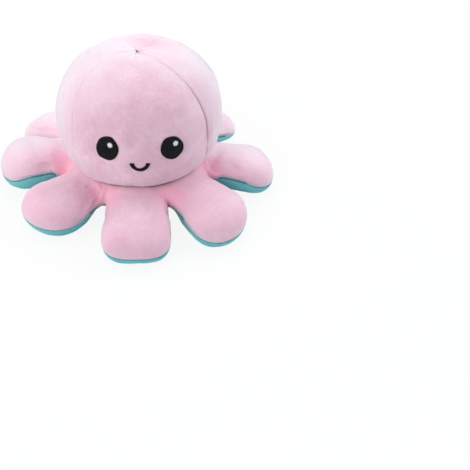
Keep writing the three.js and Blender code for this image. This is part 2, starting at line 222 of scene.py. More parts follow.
def around(bearing: Array, radius: Array, height: Array) -> Array:
    """Gives points from their bearings, distances from the toy's axis and heights."""
    turn = np.asarray(bearing) * DEGREES
    x = radius * np.sin(turn)
    return np.stack([x, -radius * np.cos(turn), height + 0 * x], axis=-1)


def heading_of(bearing: Array, polar: Array) -> Array:
    """Gives the directions that bearings and polars point in."""
    return around(bearing, np.sin(polar * DEGREES), np.cos(polar * DEGREES))


def bearing_of(points: Array) -> Array:
    """Gives the bearings of points."""
    return np.arctan2(points[..., 0], -points[..., 1]) / DEGREES


def turn_from(bearing: Array, middle: Array) -> Array:
    """Gives the turns from a middle to bearings, from -180 to 180 degrees."""
    return (bearing - middle + 180) % 360 - 180


def unevenness(points: Array, size: float, shift: float = 0.0) -> Array:
    """Gives a smooth random value from about -1 to 1 at each point.

    Args:
        points: the points, in millimetres.
        size: how far apart its bumps are, in millimetres.
        shift: moves the pattern, so that two uses differ.

    Returns:
        One value for each point.
    """
    offset = Vector((shift, shift, shift))
    return np.array([noise.noise(Vector(point) / size + offset) for point in points])


# Meshes


@dataclass(frozen=True)
class Laid:
    """Where a sheet's corners lie, and its painted crease shade, edge seam, painted shade tint and painted light."""

    points: Array
    # fold: painted crease shade, darkening painted in creases and along seams
    fold: Array | float = 0.0
    rim: Array | float = 0.0
    blush: Array | float = 0.0
    bloom: Array | float = 0.0


Placing = Callable[[Array, Array], Laid]


@dataclass(frozen=True)
class SheetSteps:
    """How finely a sheet is stepped across and along."""

    across: int
    along: int


def add_sheet(bm: bmesh.types.BMesh, steps: SheetSteps, place: Placing, flip: bool = False) -> None:
    """Adds a grid of cloth to a mesh and lays it in place.

    Args:
        bm: the mesh that gets the grid.
        steps: the grid's faces across and along.
        place: gives where the shares across and along lie.
        flip: turns the grid's faces over.
    """
    made = bmesh.ops.create_grid(bm, x_segments=steps.across, y_segments=steps.along, size=0.5)
    verts = made["verts"]
    shares = np.array([(v.co.x, v.co.y) for v in verts]) + 0.5
    laid = place(shares[:, 0], shares[:, 1])
    marks = {"fold": laid.fold, "rim": laid.rim, "blush": laid.blush, "bloom": laid.bloom}
    layers = [bm.verts.layers.float.get(name) or bm.verts.layers.float.new(name) for name in marks]
    values = np.stack([np.broadcast_to(mark, len(verts)) for mark in marks.values()], axis=-1)
    verts = bm.verts[:][-len(verts) :]
    for vert, point, row in zip(verts, laid.points * MM, values, strict=True):
        vert.co = point
        for layer, value in zip(layers, row, strict=True):
            vert[layer] = value
    if flip:
        faces = list({f for v in verts for f in v.link_faces})
        bmesh.ops.reverse_faces(bm, faces=faces)


def finished(bm: bmesh.types.BMesh, name: str, sharp: float = 50.0) -> bpy.types.Object:
    """Turns a built mesh into an object of the scene, smooth but for its sharp edges.

    Args:
        bm: the mesh, which is freed.
        name: the new object's name.
        sharp: the angle, in degrees, past which an edge stays sharp.

    Returns:
        The object, at the origin.
    """
    mesh = bpy.data.meshes.new(name)
    bm.to_mesh(mesh)
    bm.free()
    mesh.shade_smooth()
    mesh.set_sharp_from_angle(angle=sharp * DEGREES)
    piece = bpy.data.objects.new(name, mesh)
    bpy.context.scene.collection.objects.link(piece)
    return piece


def cloth_shell(name: str, steps: SheetSteps, place: Placing, flip: bool = False) -> bpy.types.Object:
    """Makes a closed shell of cloth, as thick as the plush, behind the sheet that a mapping lays.

    Args:
        name: the piece's name.
        steps: the sheet's faces across and along.
        place: gives where the shares across and along lie.
        flip: turns the sheet's outer side over.

    Returns:
        The shell.
    """
    bm = bmesh.new()
    add_sheet(bm, steps, place, flip)
    bmesh.ops.solidify(bm, geom=bm.faces[:], thickness=PLUSH * MM)
    return finished(bm, name)


# The cloth's settling


def between(grid: Array, across: Array, along: Array) -> Array:
    """Reads a grid of steps, smoothly, at shares across and along it."""
    padded = np.pad(grid, ((1, 2), (1, 2), (0, 0)), mode="reflect", reflect_type="odd")
    starts, weights = [], []
    for share, size in zip((across, along), grid.shape[:2], strict=True):
        spot = clamp01(share) * (size - 1)
        start = np.minimum(np.floor(spot).astype(int), size - 2)
        t = (spot - start)[:, None]
        taps = (-t / 2 + t**2 - t**3 / 2, 1 - 2.5 * t**2 + 1.5 * t**3, t / 2 + 2 * t**2 - 1.5 * t**3)
        starts.append(start)
        weights.append((*taps, (t**3 - t**2) / 2))
    total = np.zeros((len(across), grid.shape[2]))
    for i, first in enumerate(weights[0]):
        for j, second in enumerate(weights[1]):
            total += first * second * padded[starts[0] + i, starts[1] + j]
    return total


def loose(points: Array) -> Array:
    """Gives that none of the points lies under embroidery."""
    return np.zeros(len(points), bool)


@dataclass
class Settling:
    """A simulation in which the sheets' cloth, sewn down all round, settles over its filling.

    The cloth is cut a little larger than its place, so it swells and puckers between its seams. Most
    of the even swelling is taken off again, because the sheets already have their stuffed size.
    """

    steps: SheetSteps = SheetSteps(32, 28)
    frames: int = 20
    pressure: float = 4.0
    spare: float = 0.018
    even_share: float = 0.9
    cap: float = 0.75
    sheets: dict[str, tuple[Placing, Callable[[Array], Array]]] = field(default_factory=dict)
    moves: dict[str, Array] = field(default_factory=dict)

    def moved(self, name: str, across: Array, along: Array) -> Array | float:
        """Gives how far a sheet has moved at shares across and along it."""
        return between(self.moves[name], across, along) if name in self.moves else 0.0

    def held(self, laid: Array, sewn: Callable[[Array], Array]) -> Array:
        """Gives where a sheet's grid of points is sewn down: on its edges and under embroidery."""
        grid = sewn(laid.reshape(-1, 3)).reshape(laid.shape[:2])
        grid[[0, -1], :] = grid[:, [0, -1]] = True
        return grid

    def lay(self) -> tuple[bpy.types.Object, dict[str, Array], dict[str, Array]]:
        """Lays every sheet in one coarse mesh, with its sewn corners in a group.

        Returns:
            The mesh's object, each sheet's vertices as a grid, and each sheet's sewn corners.
        """
        bm = bmesh.new()
        corners, sewn = {}, {}
        size = (self.steps.across + 1, self.steps.along + 1)
        for name, (place, stitched) in self.sheets.items():
            before = len(bm.verts)
            spots: list[Array] = []

            def noted(across: Array, along: Array, p: Placing = place, s: list[Array] = spots) -> Laid:
                s.append(np.round(across * (size[0] - 1)) * size[1] + np.round(along * (size[1] - 1)))
                return p(across, along)

            add_sheet(bm, self.steps, noted)
            corners[name] = before + np.argsort(spots[0]).reshape(size)
            bm.verts.ensure_lookup_table()
            laid = np.array([bm.verts[i].co for i in corners[name].flat]).reshape(*size, 3) / MM
            sewn[name] = self.held(laid, stitched)
        piece = finished(bm, "settling_cloth")
        group = piece.vertex_groups.new(name="sewn")
        for name, grid in corners.items():
            group.add([int(i) for i in grid[sewn[name]]], 1.0, "REPLACE")
        return piece, corners, sewn

    def simulate(self, piece: bpy.types.Object) -> Array:
        """Runs the cloth and gives how far each corner moved, in millimetres."""
        modifier = piece.modifiers.new("settling", "CLOTH")
        cloth = modifier.settings
        cloth.quality = 5
        cloth.mass = 0.1
        cloth.tension_stiffness = cloth.compression_stiffness = 15.0
        cloth.shear_stiffness = 5.0
        cloth.bending_stiffness = 0.3
        cloth.use_pressure = True
        cloth.uniform_pressure_force = self.pressure
        cloth.shrink_min = -self.spare
        cloth.vertex_group_mass = "sewn"
        cloth.effector_weights.gravity = 0.0
        modifier.point_cache.frame_start, modifier.point_cache.frame_end = 1, self.frames
        rest = np.array([v.co for v in piece.data.vertices])
        scene = bpy.context.scene
        for step in range(1, self.frames + 1):
            scene.frame_set(step)
        settled = piece.evaluated_get(bpy.context.evaluated_depsgraph_get()).data
        move = np.array([v.co for v in settled.vertices]) - rest
        scene.frame_set(1)
        bpy.data.objects.remove(piece)
        return move / MM

    def evened(self, move: Array, sewn: Array) -> Array:
        """Takes the even part of a sheet's movement off, and caps what is left."""
        even = move.copy()
        for _ in range(40):
            wide = np.pad(even, ((1, 1), (1, 1), (0, 0)), mode="edge")
            even = (wide[2:, 1:-1] + wide[:-2, 1:-1] + wide[1:-1, 2:] + wide[1:-1, :-2]) / 4
            even[sewn] = 0
        left = move - self.even_share * even
        length = np.linalg.norm(left, axis=2, keepdims=True)
        return left / np.maximum(length, 1e-9) * self.cap * np.tanh(length / self.cap)

    def run(self) -> None:
        """Simulates all sheets at once and keeps how each moved."""
        piece, corners, sewn = self.lay()
        move = self.simulate(piece)
        for name, grid in corners.items():
            self.moves[name] = self.evened(move[grid], sewn[name])
            sizes = np.linalg.norm(move[grid], axis=2), np.linalg.norm(self.moves[name], axis=2)
            LOG.info("%s settled by up to %.2f mm, kept %.2f mm", name, *(size.max() for size in sizes))


# Finishes


class Slot(Enum):
    """The record's material slots."""

    PINK = "pink_plush"
    TEAL = "teal_plush"
    FIBRE = "fibre_filling"
    BLACK = "black_thread"
    WHITE = "white_thread"


Colour = tuple[float, float, float]


def linear(red: int, green: int, blue: int) -> Colour:
    """Turns a screen colour of 0 to 255 into the linear one that a shader takes."""
    parts = [c / 255 for c in (red, green, blue)]
    return tuple(c / 12.92 if c <= 0.04045 else ((c + 0.055) / 1.055) ** 2.4 for c in parts)


Socket = bpy.types.NodeSocket


def maths(tree: bpy.types.NodeTree, operation: str, first: Socket, second: Socket | float) -> Socket:
    """Adds a node that joins two values by one sum."""
    node = tree.nodes.new("ShaderNodeMath")
    node.operation = operation
    tree.links.new(first, node.inputs[0])
    if isinstance(second, Socket):
        tree.links.new(second, node.inputs[1])
    else:
        node.inputs[1].default_value = second
    return node.outputs["Value"]


class Recipe:
    """A material's node tree, with short ways to add to it."""

    def __init__(self, name: str, roughness: float) -> None:
        """Starts a material whose shader has this roughness."""
        self.material = bpy.data.materials.new(name)
        self.material.use_nodes = True
        self.tree = self.material.node_tree
        self.shader = self.tree.nodes["Principled BSDF"]
        self.shader.inputs["Roughness"].default_value = roughness
        self.place = self.add("ShaderNodeTexCoord").outputs["Object"]

    def add(self, kind: str, **settings: object) -> bpy.types.Node:
        """Adds a node and sets its properties."""
        node = self.tree.nodes.new(kind)
        for name, value in settings.items():
            setattr(node, name, value)
        return node

    def noise(self, scale: float, detail: float = 2.0, stretch: Colour = (1, 1, 1)) -> Socket:
        """Gives a noise on the piece, with so many bumps to the metre."""
        mapping = self.add("ShaderNodeMapping")
        mapping.inputs["Scale"].default_value = stretch
        node = self.add("ShaderNodeTexNoise")
        node.inputs["Scale"].default_value = scale
        node.inputs["Detail"].default_value = detail
        self.tree.links.new(self.place, mapping.inputs["Vector"])
        self.tree.links.new(mapping.outputs["Vector"], node.inputs["Vector"])
        return node.outputs["Fac"]

    def attribute(self, name: str) -> Socket:
        """Gives a value that the piece's mesh holds."""
        return self.add("ShaderNodeAttribute", attribute_name=name).outputs["Fac"]

    def ramp(self, value: Socket, low: float, high: float, top: float = 1.0) -> Socket:
        """Stretches a value from low to high over 0 to top, and limits it there."""
        node = self.add("ShaderNodeMapRange", clamp=True)
        for name, setting in (("From Min", low), ("From Max", high), ("To Max", top)):
            node.inputs[name].default_value = setting
        self.tree.links.new(value, node.inputs["Value"])
        return node.outputs["Result"]

    def blend(self, low: object, high: object, share: Socket) -> Socket:
        """Mixes two colours, each a colour or another mix, by a share."""
        node = self.add("ShaderNodeMix", data_type="RGBA")
        self.tree.links.new(share, node.inputs["Factor"])
        for socket, colour in ((node.inputs[6], low), (node.inputs[7], high)):
            if isinstance(colour, Socket):
                self.tree.links.new(colour, socket)
            else:
                socket.default_value = (*colour, 1.0)
        return node.outputs[2]

    def bump(self, height: Socket, depth: float, under: object = None) -> Socket:
        """Roughens the surface by a height, in millimetres deep, over an earlier bump if given."""
        node = self.add("ShaderNodeBump")
        node.inputs["Distance"].default_value = depth * MM
        self.tree.links.new(height, node.inputs["Height"])
        if under is not None:
            self.tree.links.new(under, node.inputs["Normal"])
        return node.outputs["Normal"]

    def end(self, colour: Socket, normal: Socket) -> bpy.types.Material:
        """Joins the colour and the bumps to the shader."""
        self.tree.links.new(colour, self.shader.inputs["Base Color"])
        self.tree.links.new(normal, self.shader.inputs["Normal"])
        return self.material


@dataclass(frozen=True)
class PlushFinish:
    """Short-pile plush, uneven in colour where its pile lies differently, with painted light and painted shade."""

    slot: Slot
    pale: Colour
    deep: Colour
    # Painted shade tint, painted light and painted crease shade (fold) colours.
    blush: Colour
    bloom: Colour
    fold: Colour
    rim: Colour
    sheen: Colour
    sheen_weight: float = 1.0
    sheen_roughness: float = 0.42
    lay_scale: float = 45
    nap_scale: float = 420
    tuft_scale: float = 1500

    def material(self) -> bpy.types.Material:
        """Makes the material."""
        recipe = Recipe(self.slot.value, 0.95)
        sockets = {
            "Specular IOR Level": MATT,
            "Sheen Weight": self.sheen_weight,
            "Sheen Roughness": self.sheen_roughness,
            "Sheen Tint": (*self.sheen, 1.0),
        }
        for name, value in sockets.items():
            recipe.shader.inputs[name].default_value = value
        lay = recipe.ramp(recipe.noise(self.lay_scale, 3.0), 0.3, 0.7)
        nap = recipe.noise(self.nap_scale, 3.0)
        tufts = recipe.noise(self.tuft_scale, 2.0)
        sum_of = partial(maths, recipe.tree)
        grain = sum_of("ADD", sum_of("MULTIPLY", nap, 0.55), sum_of("MULTIPLY", lay, 0.45))
        colour = recipe.blend(self.pale, self.deep, recipe.ramp(grain, 0.25, 0.75))
        # Painted light, painted shade tint and painted crease shade, each mixed in by its mark on the mesh.
        tints = ("bloom", self.bloom, 1.0), ("blush", self.blush, 1.0), ("fold", self.fold, 0.85)
        for name, tint, top in tints:
            colour = recipe.blend(colour, tint, recipe.ramp(recipe.attribute(name), 0.0, 1.0, top))
        dots = sum_of("ADD", recipe.attribute("rim"), sum_of("MULTIPLY", tufts, 0.9))
        colour = recipe.blend(colour, self.rim, recipe.ramp(dots, 1.0, 1.2, 0.9))
        normal = recipe.bump(nap, 0.35)
        normal = recipe.bump(tufts, 0.22, normal)
        return recipe.end(colour, normal)


@dataclass(frozen=True)
class ThreadFinish:
    """Embroidery thread, slightly glossy, in strands."""

    slot: Slot
    dark: Colour
    light: Colour

    def material(self) -> bpy.types.Material:
        """Makes the material."""
        recipe = Recipe(self.slot.value, 0.6)
        recipe.shader.inputs["Specular IOR Level"].default_value = MATT
        strands = recipe.noise(1400, 2.0, (1.0, 1.0, 0.12))
        colour = recipe.blend(self.dark, self.light, recipe.ramp(strands, 0.35, 0.7))
        return recipe.end(colour, recipe.bump(strands, 0.12))


@dataclass(frozen=True)
class FibreFinish:
    """Loose polyester fibre, matt and curly."""

    slot: Slot
    dark: Colour
    light: Colour

    def material(self) -> bpy.types.Material:
        """Makes the material."""
        recipe = Recipe(self.slot.value, 0.9)
        curls = recipe.noise(260, 6.0)
        wisps = recipe.noise(900, 3.0, (1.0, 0.2, 1.0))
        colour = recipe.blend(self.dark, self.light, recipe.ramp(curls, 0.3, 0.7))
        return recipe.end(colour, recipe.bump(wisps, 0.5, recipe.bump(curls, 1.5)))


class Wardrobe:
    """Every finish of the toy, each made once."""

    def __init__(self) -> None:
        """Makes the materials."""
        pink = PlushFinish(
            Slot.PINK,
            pale=linear(242, 206, 221),
            deep=linear(231, 183, 202),
            # Painted shade tint, painted light and painted crease shade (fold) colours.
            blush=linear(252, 190, 210),
            bloom=linear(249, 236, 244),
            fold=linear(158, 52, 88),
            rim=linear(176, 190, 198),
            sheen=(1.0, 0.98, 0.99),
        )
        teal = PlushFinish(
            Slot.TEAL,
            pale=linear(130, 208, 210),
            deep=linear(110, 192, 196),
            # Painted shade tint, painted light and painted crease shade (fold) colours.
            blush=linear(92, 176, 182),
            bloom=linear(150, 220, 222),
            fold=linear(50, 130, 138),
            rim=linear(70, 128, 136),
            sheen=(0.8, 1.0, 1.0),
            sheen_weight=0.3,
        )
        finishes = (
            pink,
            teal,
            FibreFinish(Slot.FIBRE, linear(226, 222, 214), linear(250, 248, 244)),
            ThreadFinish(Slot.BLACK, linear(3, 3, 5), linear(22, 22, 26)),
            ThreadFinish(Slot.WHITE, linear(244, 244, 248), linear(255, 255, 255)),
        )
        self.materials = {finish.slot: finish.material() for finish in finishes}

    def dress(self, piece: bpy.types.Object, slot: Slot, *nodes: str) -> bpy.types.Object:
        """Gives a piece its finish and lets it stand for its CAD nodes.

        Args:
            piece: the piece.
            slot: the record's slot that its finish comes from.
            nodes: the CAD nodes that it stands for.

        Returns:
            The piece.
        """
        piece.data.materials.append(self.materials[slot])
        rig.replaces(piece, *nodes)
        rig.slot(piece, slot.value)
        LOG.info("%s: %d faces, %s", piece.name, len(piece.data.polygons), slot.value)
        return piece


# The head


@dataclass(frozen=True)
class SeamLine:
    """A seam of the head, whose bearing drifts as it climbs to the crown, and how plain it is.

    The marks are for shares of 0, 0.6, 0.85, 0.97 and 1 of the climb.
    """

    low: float
    crown: float
    bend: float = 1.0
    marks: tuple[float, ...] = (1.0,) * 5

    def bearing(self, climb: Array) -> Array:
        """Gives its bearing at a share of the climb from the widest ring to the crown."""
        return mix(self.low, self.crown, climb**self.bend)

    def mark(self, climb: Array) -> Array:
        """Gives how plain it is at a share of the climb."""
        return np.interp(climb, (0.0, 0.6, 0.85, 0.97, 1.0), self.marks)


@dataclass(frozen=True)
class Gore:
    """A panel of the head between two seams."""

    name: str
    first: int
    last: int


@dataclass(frozen=True)
class Press:
    """A place where embroidery draws the cloth in."""

    bearing: float
    height: float
    radius: float
    depth: float


@dataclass(frozen=True)
class Bump:
    """A local swell of the head, or another value that is strongest round one place."""

    height: float
    polar: float
    down: float
    bearing: float
    across: float

    def at(self, bearing: Array, polar: Array) -> Array:
        """Gives how strong it is at bearings and polars."""
        strength = self.height * bell(polar - self.polar, self.down)
        return strength * bell(turn_from(bearing, self.bearing), self.across)


@dataclass
class Head:
    """The padded dome: four gores of cloth round their filling."""

    radius: float = 58.6
    equator: float = 53.5
    rise: float = 57.0
    drop: float = 40.5
    shoulder: float = 2.6
    right_shoulder: float = 3.2
    shoulder_polar: float = 56.0
    shoulder_spread: float = 28.0
    lean: float = -2.0
    crown_shift: tuple[float, float] = (-1.0, 6.8)
    neck_radius: float = 44.0
    neck_tuck: float = 2.2
    neck_dip: float = 1.9
    crown_knot: float = 0.8
    dimple: float = 1.6
    dimple_spread: float = 13.0
    dent: Bump = Bump(3.2, 14, 8.5, 148, 40.0)
    full_cheek: Bump = Bump(2.0, 117, 9.0, 318, 22.0)
    flat_cheek: Bump = Bump(-4.0, 101, 13.0, 268, 32.0)
    # Painted shade tint in the dip behind the crown.
    crown_painted_shade: Bump = Bump(0.9, 15, 12.0, 140, 55.0)
    puckers: int = 9
    pucker_height: float = 0.3
    groove: float = 0.9
    groove_spread: float = 1.2
    swell: float = 1.1
    swell_spread: float = 8.0
    lumps: float = 0.55
    seam_gap: float = 0.12
    seam_shade: float = 0.42
    seam_shade_width: float = 0.8
    crease_shade_width: float = 3.0
    seam_crowding: float = 0.6
    filling_inset: float = 3.6
    steps: SheetSteps = SheetSteps(76, 84)
    seams: tuple[SeamLine, ...] = (
        SeamLine(-49.0, -66.0, 1.6, (0.12, 0.08, 0.03, 0.03, 0.1)),
        SeamLine(55.8, 49.0, 2.0, (0.95, 0.85, 0.35, 0.4, 1.0)),
        SeamLine(145.0, 142.0, 1.0, (0.5, 0.45, 0.25, 0.15, 0.2)),
        SeamLine(216.0, 205.0, 1.0, (0.5, 0.45, 0.15, 0.1, 0.1)),
        SeamLine(311.0, 294.0, 1.6, (0.12, 0.08, 0.03, 0.03, 0.1)),
    )
    gores: tuple[Gore, ...] = (
        Gore("front", 0, 1),
        Gore("right", 1, 2),
        Gore("back", 2, 3),
        Gore("left", 3, 4),
    )
    presses: list[Press] = field(default_factory=list)
    settling: Settling = field(default_factory=Settling)

    @property
    def neck_polar(self) -> float:
        """The polar of the crease that the head is sewn down to."""
        return 180 - math.asin(self.neck_radius / (self.radius - self.neck_tuck)) / DEGREES

    def climb(self, polar: Array) -> Array:
        """Gives the share of the way up from the widest ring to the crown."""
        return clamp01(np.cos(polar * DEGREES))

    def nearest_seam(self, bearing: Array, polar: Array) -> tuple[Array, Array]:
        """Gives how far points are from their nearest seam, in millimetres, and how plain it is."""
        reach = self.radius * np.sin(polar * DEGREES)
        climb = self.climb(polar)
        turns = np.abs([turn_from(bearing, seam.bearing(climb)) for seam in self.seams])
        marks = np.array([seam.mark(climb) for seam in self.seams])
        nearest = turns.argmin(axis=0)[None]
        return turns.min(axis=0) * DEGREES * reach, np.take_along_axis(marks, nearest, axis=0)[0]

    def pressed(self, bearing: Array, height: Array) -> Array:
        """Gives how far the embroidery draws the cloth in."""
        total = 0 * bearing
        for press in self.presses:
            across = (bearing - press.bearing) * DEGREES * self.radius
            distance = np.hypot(across, height - press.height)
            total = total + press.depth * (1 - smooth((distance / press.radius - 0.75) / 0.75))
        return total

    def fuller(self, bearing: Array, down: Array, climb: Array) -> Array:
        """Gives how far the shoulders, and more so the right one, stand out from a plain dome."""
        right = (0.5 + 0.5 * np.sin(bearing * DEGREES)) ** 2
        shoulder = bell(down / DEGREES - self.shoulder_polar, self.shoulder_spread)
        return self.shoulder * (2 * np.sin(down) * climb) ** 2 + self.right_shoulder * right * shoulder

    def surface(self, bearing: Array, polar: Array, lift: Array = 0.0) -> Array:
        """Gives points of the head's outside.

        Args:
            bearing: their bearings.
            polar: their polars.
            lift: how far off the cloth they are.

        Returns:
            The points.
        """
        bearing, polar = np.broadcast_arrays(np.asarray(bearing, float), np.asarray(polar, float))
        distance, mark = self.nearest_seam(bearing, polar)
        dimple = self.dimple * bell(polar, self.dimple_spread)
        pucker = self.pucker_height * bell(polar - 9, 6.0) * np.sin(bearing * DEGREES * self.puckers + 2)
        dent = self.dent.at(bearing, polar)
        heading = heading_of(bearing, polar)
        climb = self.climb(polar)
        heading[..., :2] += np.array(self.crown_shift) / self.radius * climb[..., None] ** 2
        flat = np.hypot(heading[..., 0], heading[..., 1])
        down = np.arctan2(flat, heading[..., 2])
        bearing = bearing_of(heading)
        climb = clamp01(np.cos(down))
        semi = np.where(np.cos(down) > 0, self.rise, self.drop)
        low = clamp01((polar - 90) / (self.neck_polar - 90)) ** 2
        plain = around(bearing, self.radius * np.sin(down), self.equator + semi * np.cos(down))
        fuller = self.fuller(bearing, down, climb)
        groove = self.groove * np.exp(-distance / self.groove_spread)
        seam = groove + self.swell * bell(distance, self.swell_spread)
        cheek = self.full_cheek.at(bearing, polar) + self.flat_cheek.at(bearing, polar)
        lump = self.lumps * unevenness(plain, 21.0) + 0.4 * self.lumps * unevenness(plain, 8.0, 5.0)
        out = lift + fuller + cheek + (lump - seam * mark) * (1 - low) - self.neck_tuck * low
        out = out - self.pressed(bearing, plain[:, 2])
        radius = (self.radius + out) * np.sin(down)
        height = self.equator + (semi + out) * np.cos(down) - dimple - dent + pucker
        height = height - self.neck_dip * low**6
        return around(bearing, radius, height) + np.outer(climb**1.5, (0.0, self.lean, 0.0))

    def bloom(self, bearing: Array, polar: Array) -> Array:
        """Gives the painted light: how much paler the cloth is painted all round but on the brow, fading out low down.
        """
        brow = heading_of(4.0, 80.0)
        turned = np.arccos(np.clip(heading_of(bearing, polar) @ brow, -1, 1)) / DEGREES
        lower = 1 - smooth((polar - 84) / 22)
        return 0.6 * smooth((turned - 42) / 42) * lower

    def gore_sheet(self, gore: Gore) -> Placing:
        """Gives the mapping that lays a gore, from the crease up to the crown."""
        first, last = self.seams[gore.first], self.seams[gore.last]
        knot = math.asin(self.crown_knot / self.radius) / DEGREES

        def place(across: Array, along: Array) -> Laid:
            polar = mix(self.neck_polar, knot, along)
            climb = self.climb(polar)
            margin = self.seam_gap / 2 / (self.radius * np.sin(polar * DEGREES)) / DEGREES
            share = mix(across, 0.5 - np.cos(across * math.pi) / 2, self.seam_crowding)
            bearing = mix(first.bearing(climb) + margin, last.bearing(climb) - margin, share)
            distance, mark = self.nearest_seam(bearing, polar)
            calm = mix(smooth(distance / 12), 0.8, mark) * smooth(polar / 30)
            calm = calm * smooth((self.neck_polar - polar) / 12)
            move = self.settling.moved(f"{gore.name}_gore", across, along)
            points = self.surface(bearing, polar) + calm[:, None] * move
            # Painted crease shade: darkening painted along the seams and at the neck crease.
            seam = self.seam_shade * mark * np.exp(-distance / self.seam_shade_width)
            crease = bell(self.neck_polar - polar, self.crease_shade_width)
            # Painted shade tint: saturated pink painted in the dip behind the crown.
            blush = self.crown_painted_shade.at(bearing, polar)
            return Laid(points, clamp01(seam + crease), 0.0, blush, self.bloom(bearing, polar))

        return place

    def embroidered(self, points: Array) -> Array:
        """Gives which points lie under the embroidery, which holds the cloth still."""
        return self.pressed(bearing_of(points), points[:, 2]) > 0.01

    def settle(self, settling: Settling) -> None:
        """Hands the gores to the settling, which then moves them."""
        for gore in self.gores:
            settling.sheets[f"{gore.name}_gore"] = (self.gore_sheet(gore), self.embroidered)
        self.settling = settling

    def filling(self) -> bpy.types.Object:
        """Makes the fibre between the gores and the pocket's lining, by turning its outline."""
        pocket = Pocket()
        outer = np.linspace(0, self.neck_polar, 40) * DEGREES
        semi = np.where(np.cos(outer) > 0, self.rise, self.drop) - self.filling_inset
        wide = self.radius - self.filling_inset
        inner = np.linspace(pocket.mouth_polar, 0, 30) * DEGREES
        inset = PLUSH + 0.4
        sunk = self.dimple * bell(outer / DEGREES, 20.0) + 1.5 * bell(outer / DEGREES, 30.0)
        rim = pocket.rise + inset
        heights = [self.equator + semi * np.cos(outer) - sunk, pocket.height_at(inner, rim)]
        radii = [wide * np.sin(outer), (pocket.radius + inset) * np.sin(inner)]
        bm = bmesh.new()
        profile = zip(np.concatenate(radii), np.concatenate(heights), strict=True)
        verts = [bm.verts.new((r * MM, 0, z * MM)) for r, z in profile]
        edges = [bm.edges.new(pair) for pair in zip(verts, verts[1:], strict=False)]
        turn = {"cent": (0, 0, 0), "axis": (0, 0, 1), "angle": 2 * math.pi, "steps": 72, "use_merge": True}
        bmesh.ops.spin(bm, geom=verts + edges, **turn)
        bmesh.ops.remove_doubles(bm, verts=bm.verts[:], dist=0.01 * MM)
        bmesh.ops.recalc_face_normals(bm, faces=bm.faces[:])
        return finished(bm, "head_padding")

    def build(self, wardrobe: Wardrobe) -> None:
        """Makes the gores and the filling, dresses them and lets them ride.

        Args:
            wardrobe: the toy's finishes.
        """
        for gore in self.gores:
            shell = cloth_shell(f"head_{gore.name}_gore", self.steps, self.gore_sheet(gore))
            wardrobe.dress(shell, Slot.PINK, f"head_{gore.name}_panel")
            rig.padded(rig.ride(shell, BODY), fill=0.85)
        padding = wardrobe.dress(self.filling(), Slot.FIBRE, "head_filling")
        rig.padded(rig.ride(padding, BODY), fill=0.85)


# The pocket


@dataclass
class Pocket:
    """The hollow that the dome is pushed through, with its own lining and face."""

    radius: float = 30.0
    equator: float = 42.0
    rise: float = 42.0
    mouth_radius: float = 27.0
    mouth_height: float = 9.0
    fold_depth: float = 1.3
    knot: float = 0.6
    seam_gap: float = 0.12
    steps: SheetSteps = SheetSteps(56, 64)
    seams: tuple[float, ...] = (-52.0, 57.0, 145.0, 216.0, 308.0)
    names: tuple[str, ...] = ("front", "right", "back", "left")

    @property
    def mouth_polar(self) -> float:
        """The polar of the pocket's mouth."""
        return 180 - math.asin(self.mouth_radius / self.radius) / DEGREES

    def height_at(self, down: Array, rise: float) -> Array:
        """Gives the height at a turn down from the pocket's top, in radians."""
        drop = (self.mouth_height - self.equator) / math.cos(self.mouth_polar * DEGREES)
        return self.equator + np.where(np.cos(down) > 0, rise, drop) * np.cos(down)

    def surface(self, bearing: Array, polar: Array, lift: Array = 0.0) -> Array:
        """Gives points of the lining's visible side. A lift goes into the hollow.

        Args:
            bearing: their bearings.
            polar: their polars.
            lift: how far off the cloth they are.

        Returns:
            The points.
        """
        bearing, polar = np.broadcast_arrays(np.asarray(bearing, float), np.asarray(polar, float))
        down = polar * DEGREES
        plain = around(bearing, self.radius * np.sin(down), self.height_at(down, self.rise))
        turns = [turn_from(bearing, seam) for seam in self.seams]
        distance = np.min(np.abs(turns), axis=0) * DEGREES * self.radius * np.sin(down)
        calm = bell(turn_from(bearing, 0.0), 48.0)
        ripple = 0.5 + 0.5 * np.sin(bearing * DEGREES * 9 + 2.2 * unevenness(plain, 16.0))
        fold = self.fold_depth * ripple * np.sin(down) ** 2 * (1 - 0.85 * calm)
        fold = fold * (1 - smooth((polar - 118) / (self.mouth_polar - 118)))
        seam = 0.5 * np.exp(-distance / 1.0)
        out = fold + lift - seam + 0.25 * unevenness(plain, 9.0, 3.0) - 0.25
        radius = np.maximum(self.radius - out, 0) * np.sin(down)
        return around(bearing, radius, self.height_at(down, self.rise) - out * clamp01(np.cos(down)))

    def gore_sheet(self, first: float, last: float) -> Placing:
        """Gives the mapping that lays a gore of lining, from the crown down to the mouth."""
        knot = math.asin(self.knot / self.radius) / DEGREES

        def place(across: Array, along: Array) -> Laid:
            polar = mix(knot, self.mouth_polar, along)
            margin = self.seam_gap / 2 / (self.radius * np.sin(polar * DEGREES)) / DEGREES
            bearing = mix(first + margin, last - margin, across)
            near = np.minimum(bearing - first, last - bearing) * DEGREES * self.radius
            seam = np.exp(-near * np.sin(polar * DEGREES) / 0.9)
            # Painted crease shade along the lining's seams and deep at its crown.
            return Laid(self.surface(bearing, polar), clamp01(0.6 * seam + 0.5 * bell(polar, 14.0)))

        return place

    def build(self, wardrobe: Wardrobe) -> None:
        """Makes the lining's gores, dresses them and lets them ride.

        Args:
            wardrobe: the toy's finishes.
        """
        for name, first, last in zip(self.names, self.seams, self.seams[1:], strict=False):
            shell = cloth_shell(f"lining_{name}_gore", self.steps, self.gore_sheet(first, last))
            wardrobe.dress(shell, Slot.TEAL, f"lining_{name}_panel")
            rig.ride(shell, BODY)


# The arms and the ring that they grow from


class Side(Enum):
    """The two sides of an arm."""

    TOP = 1
    UNDERSIDE = -1


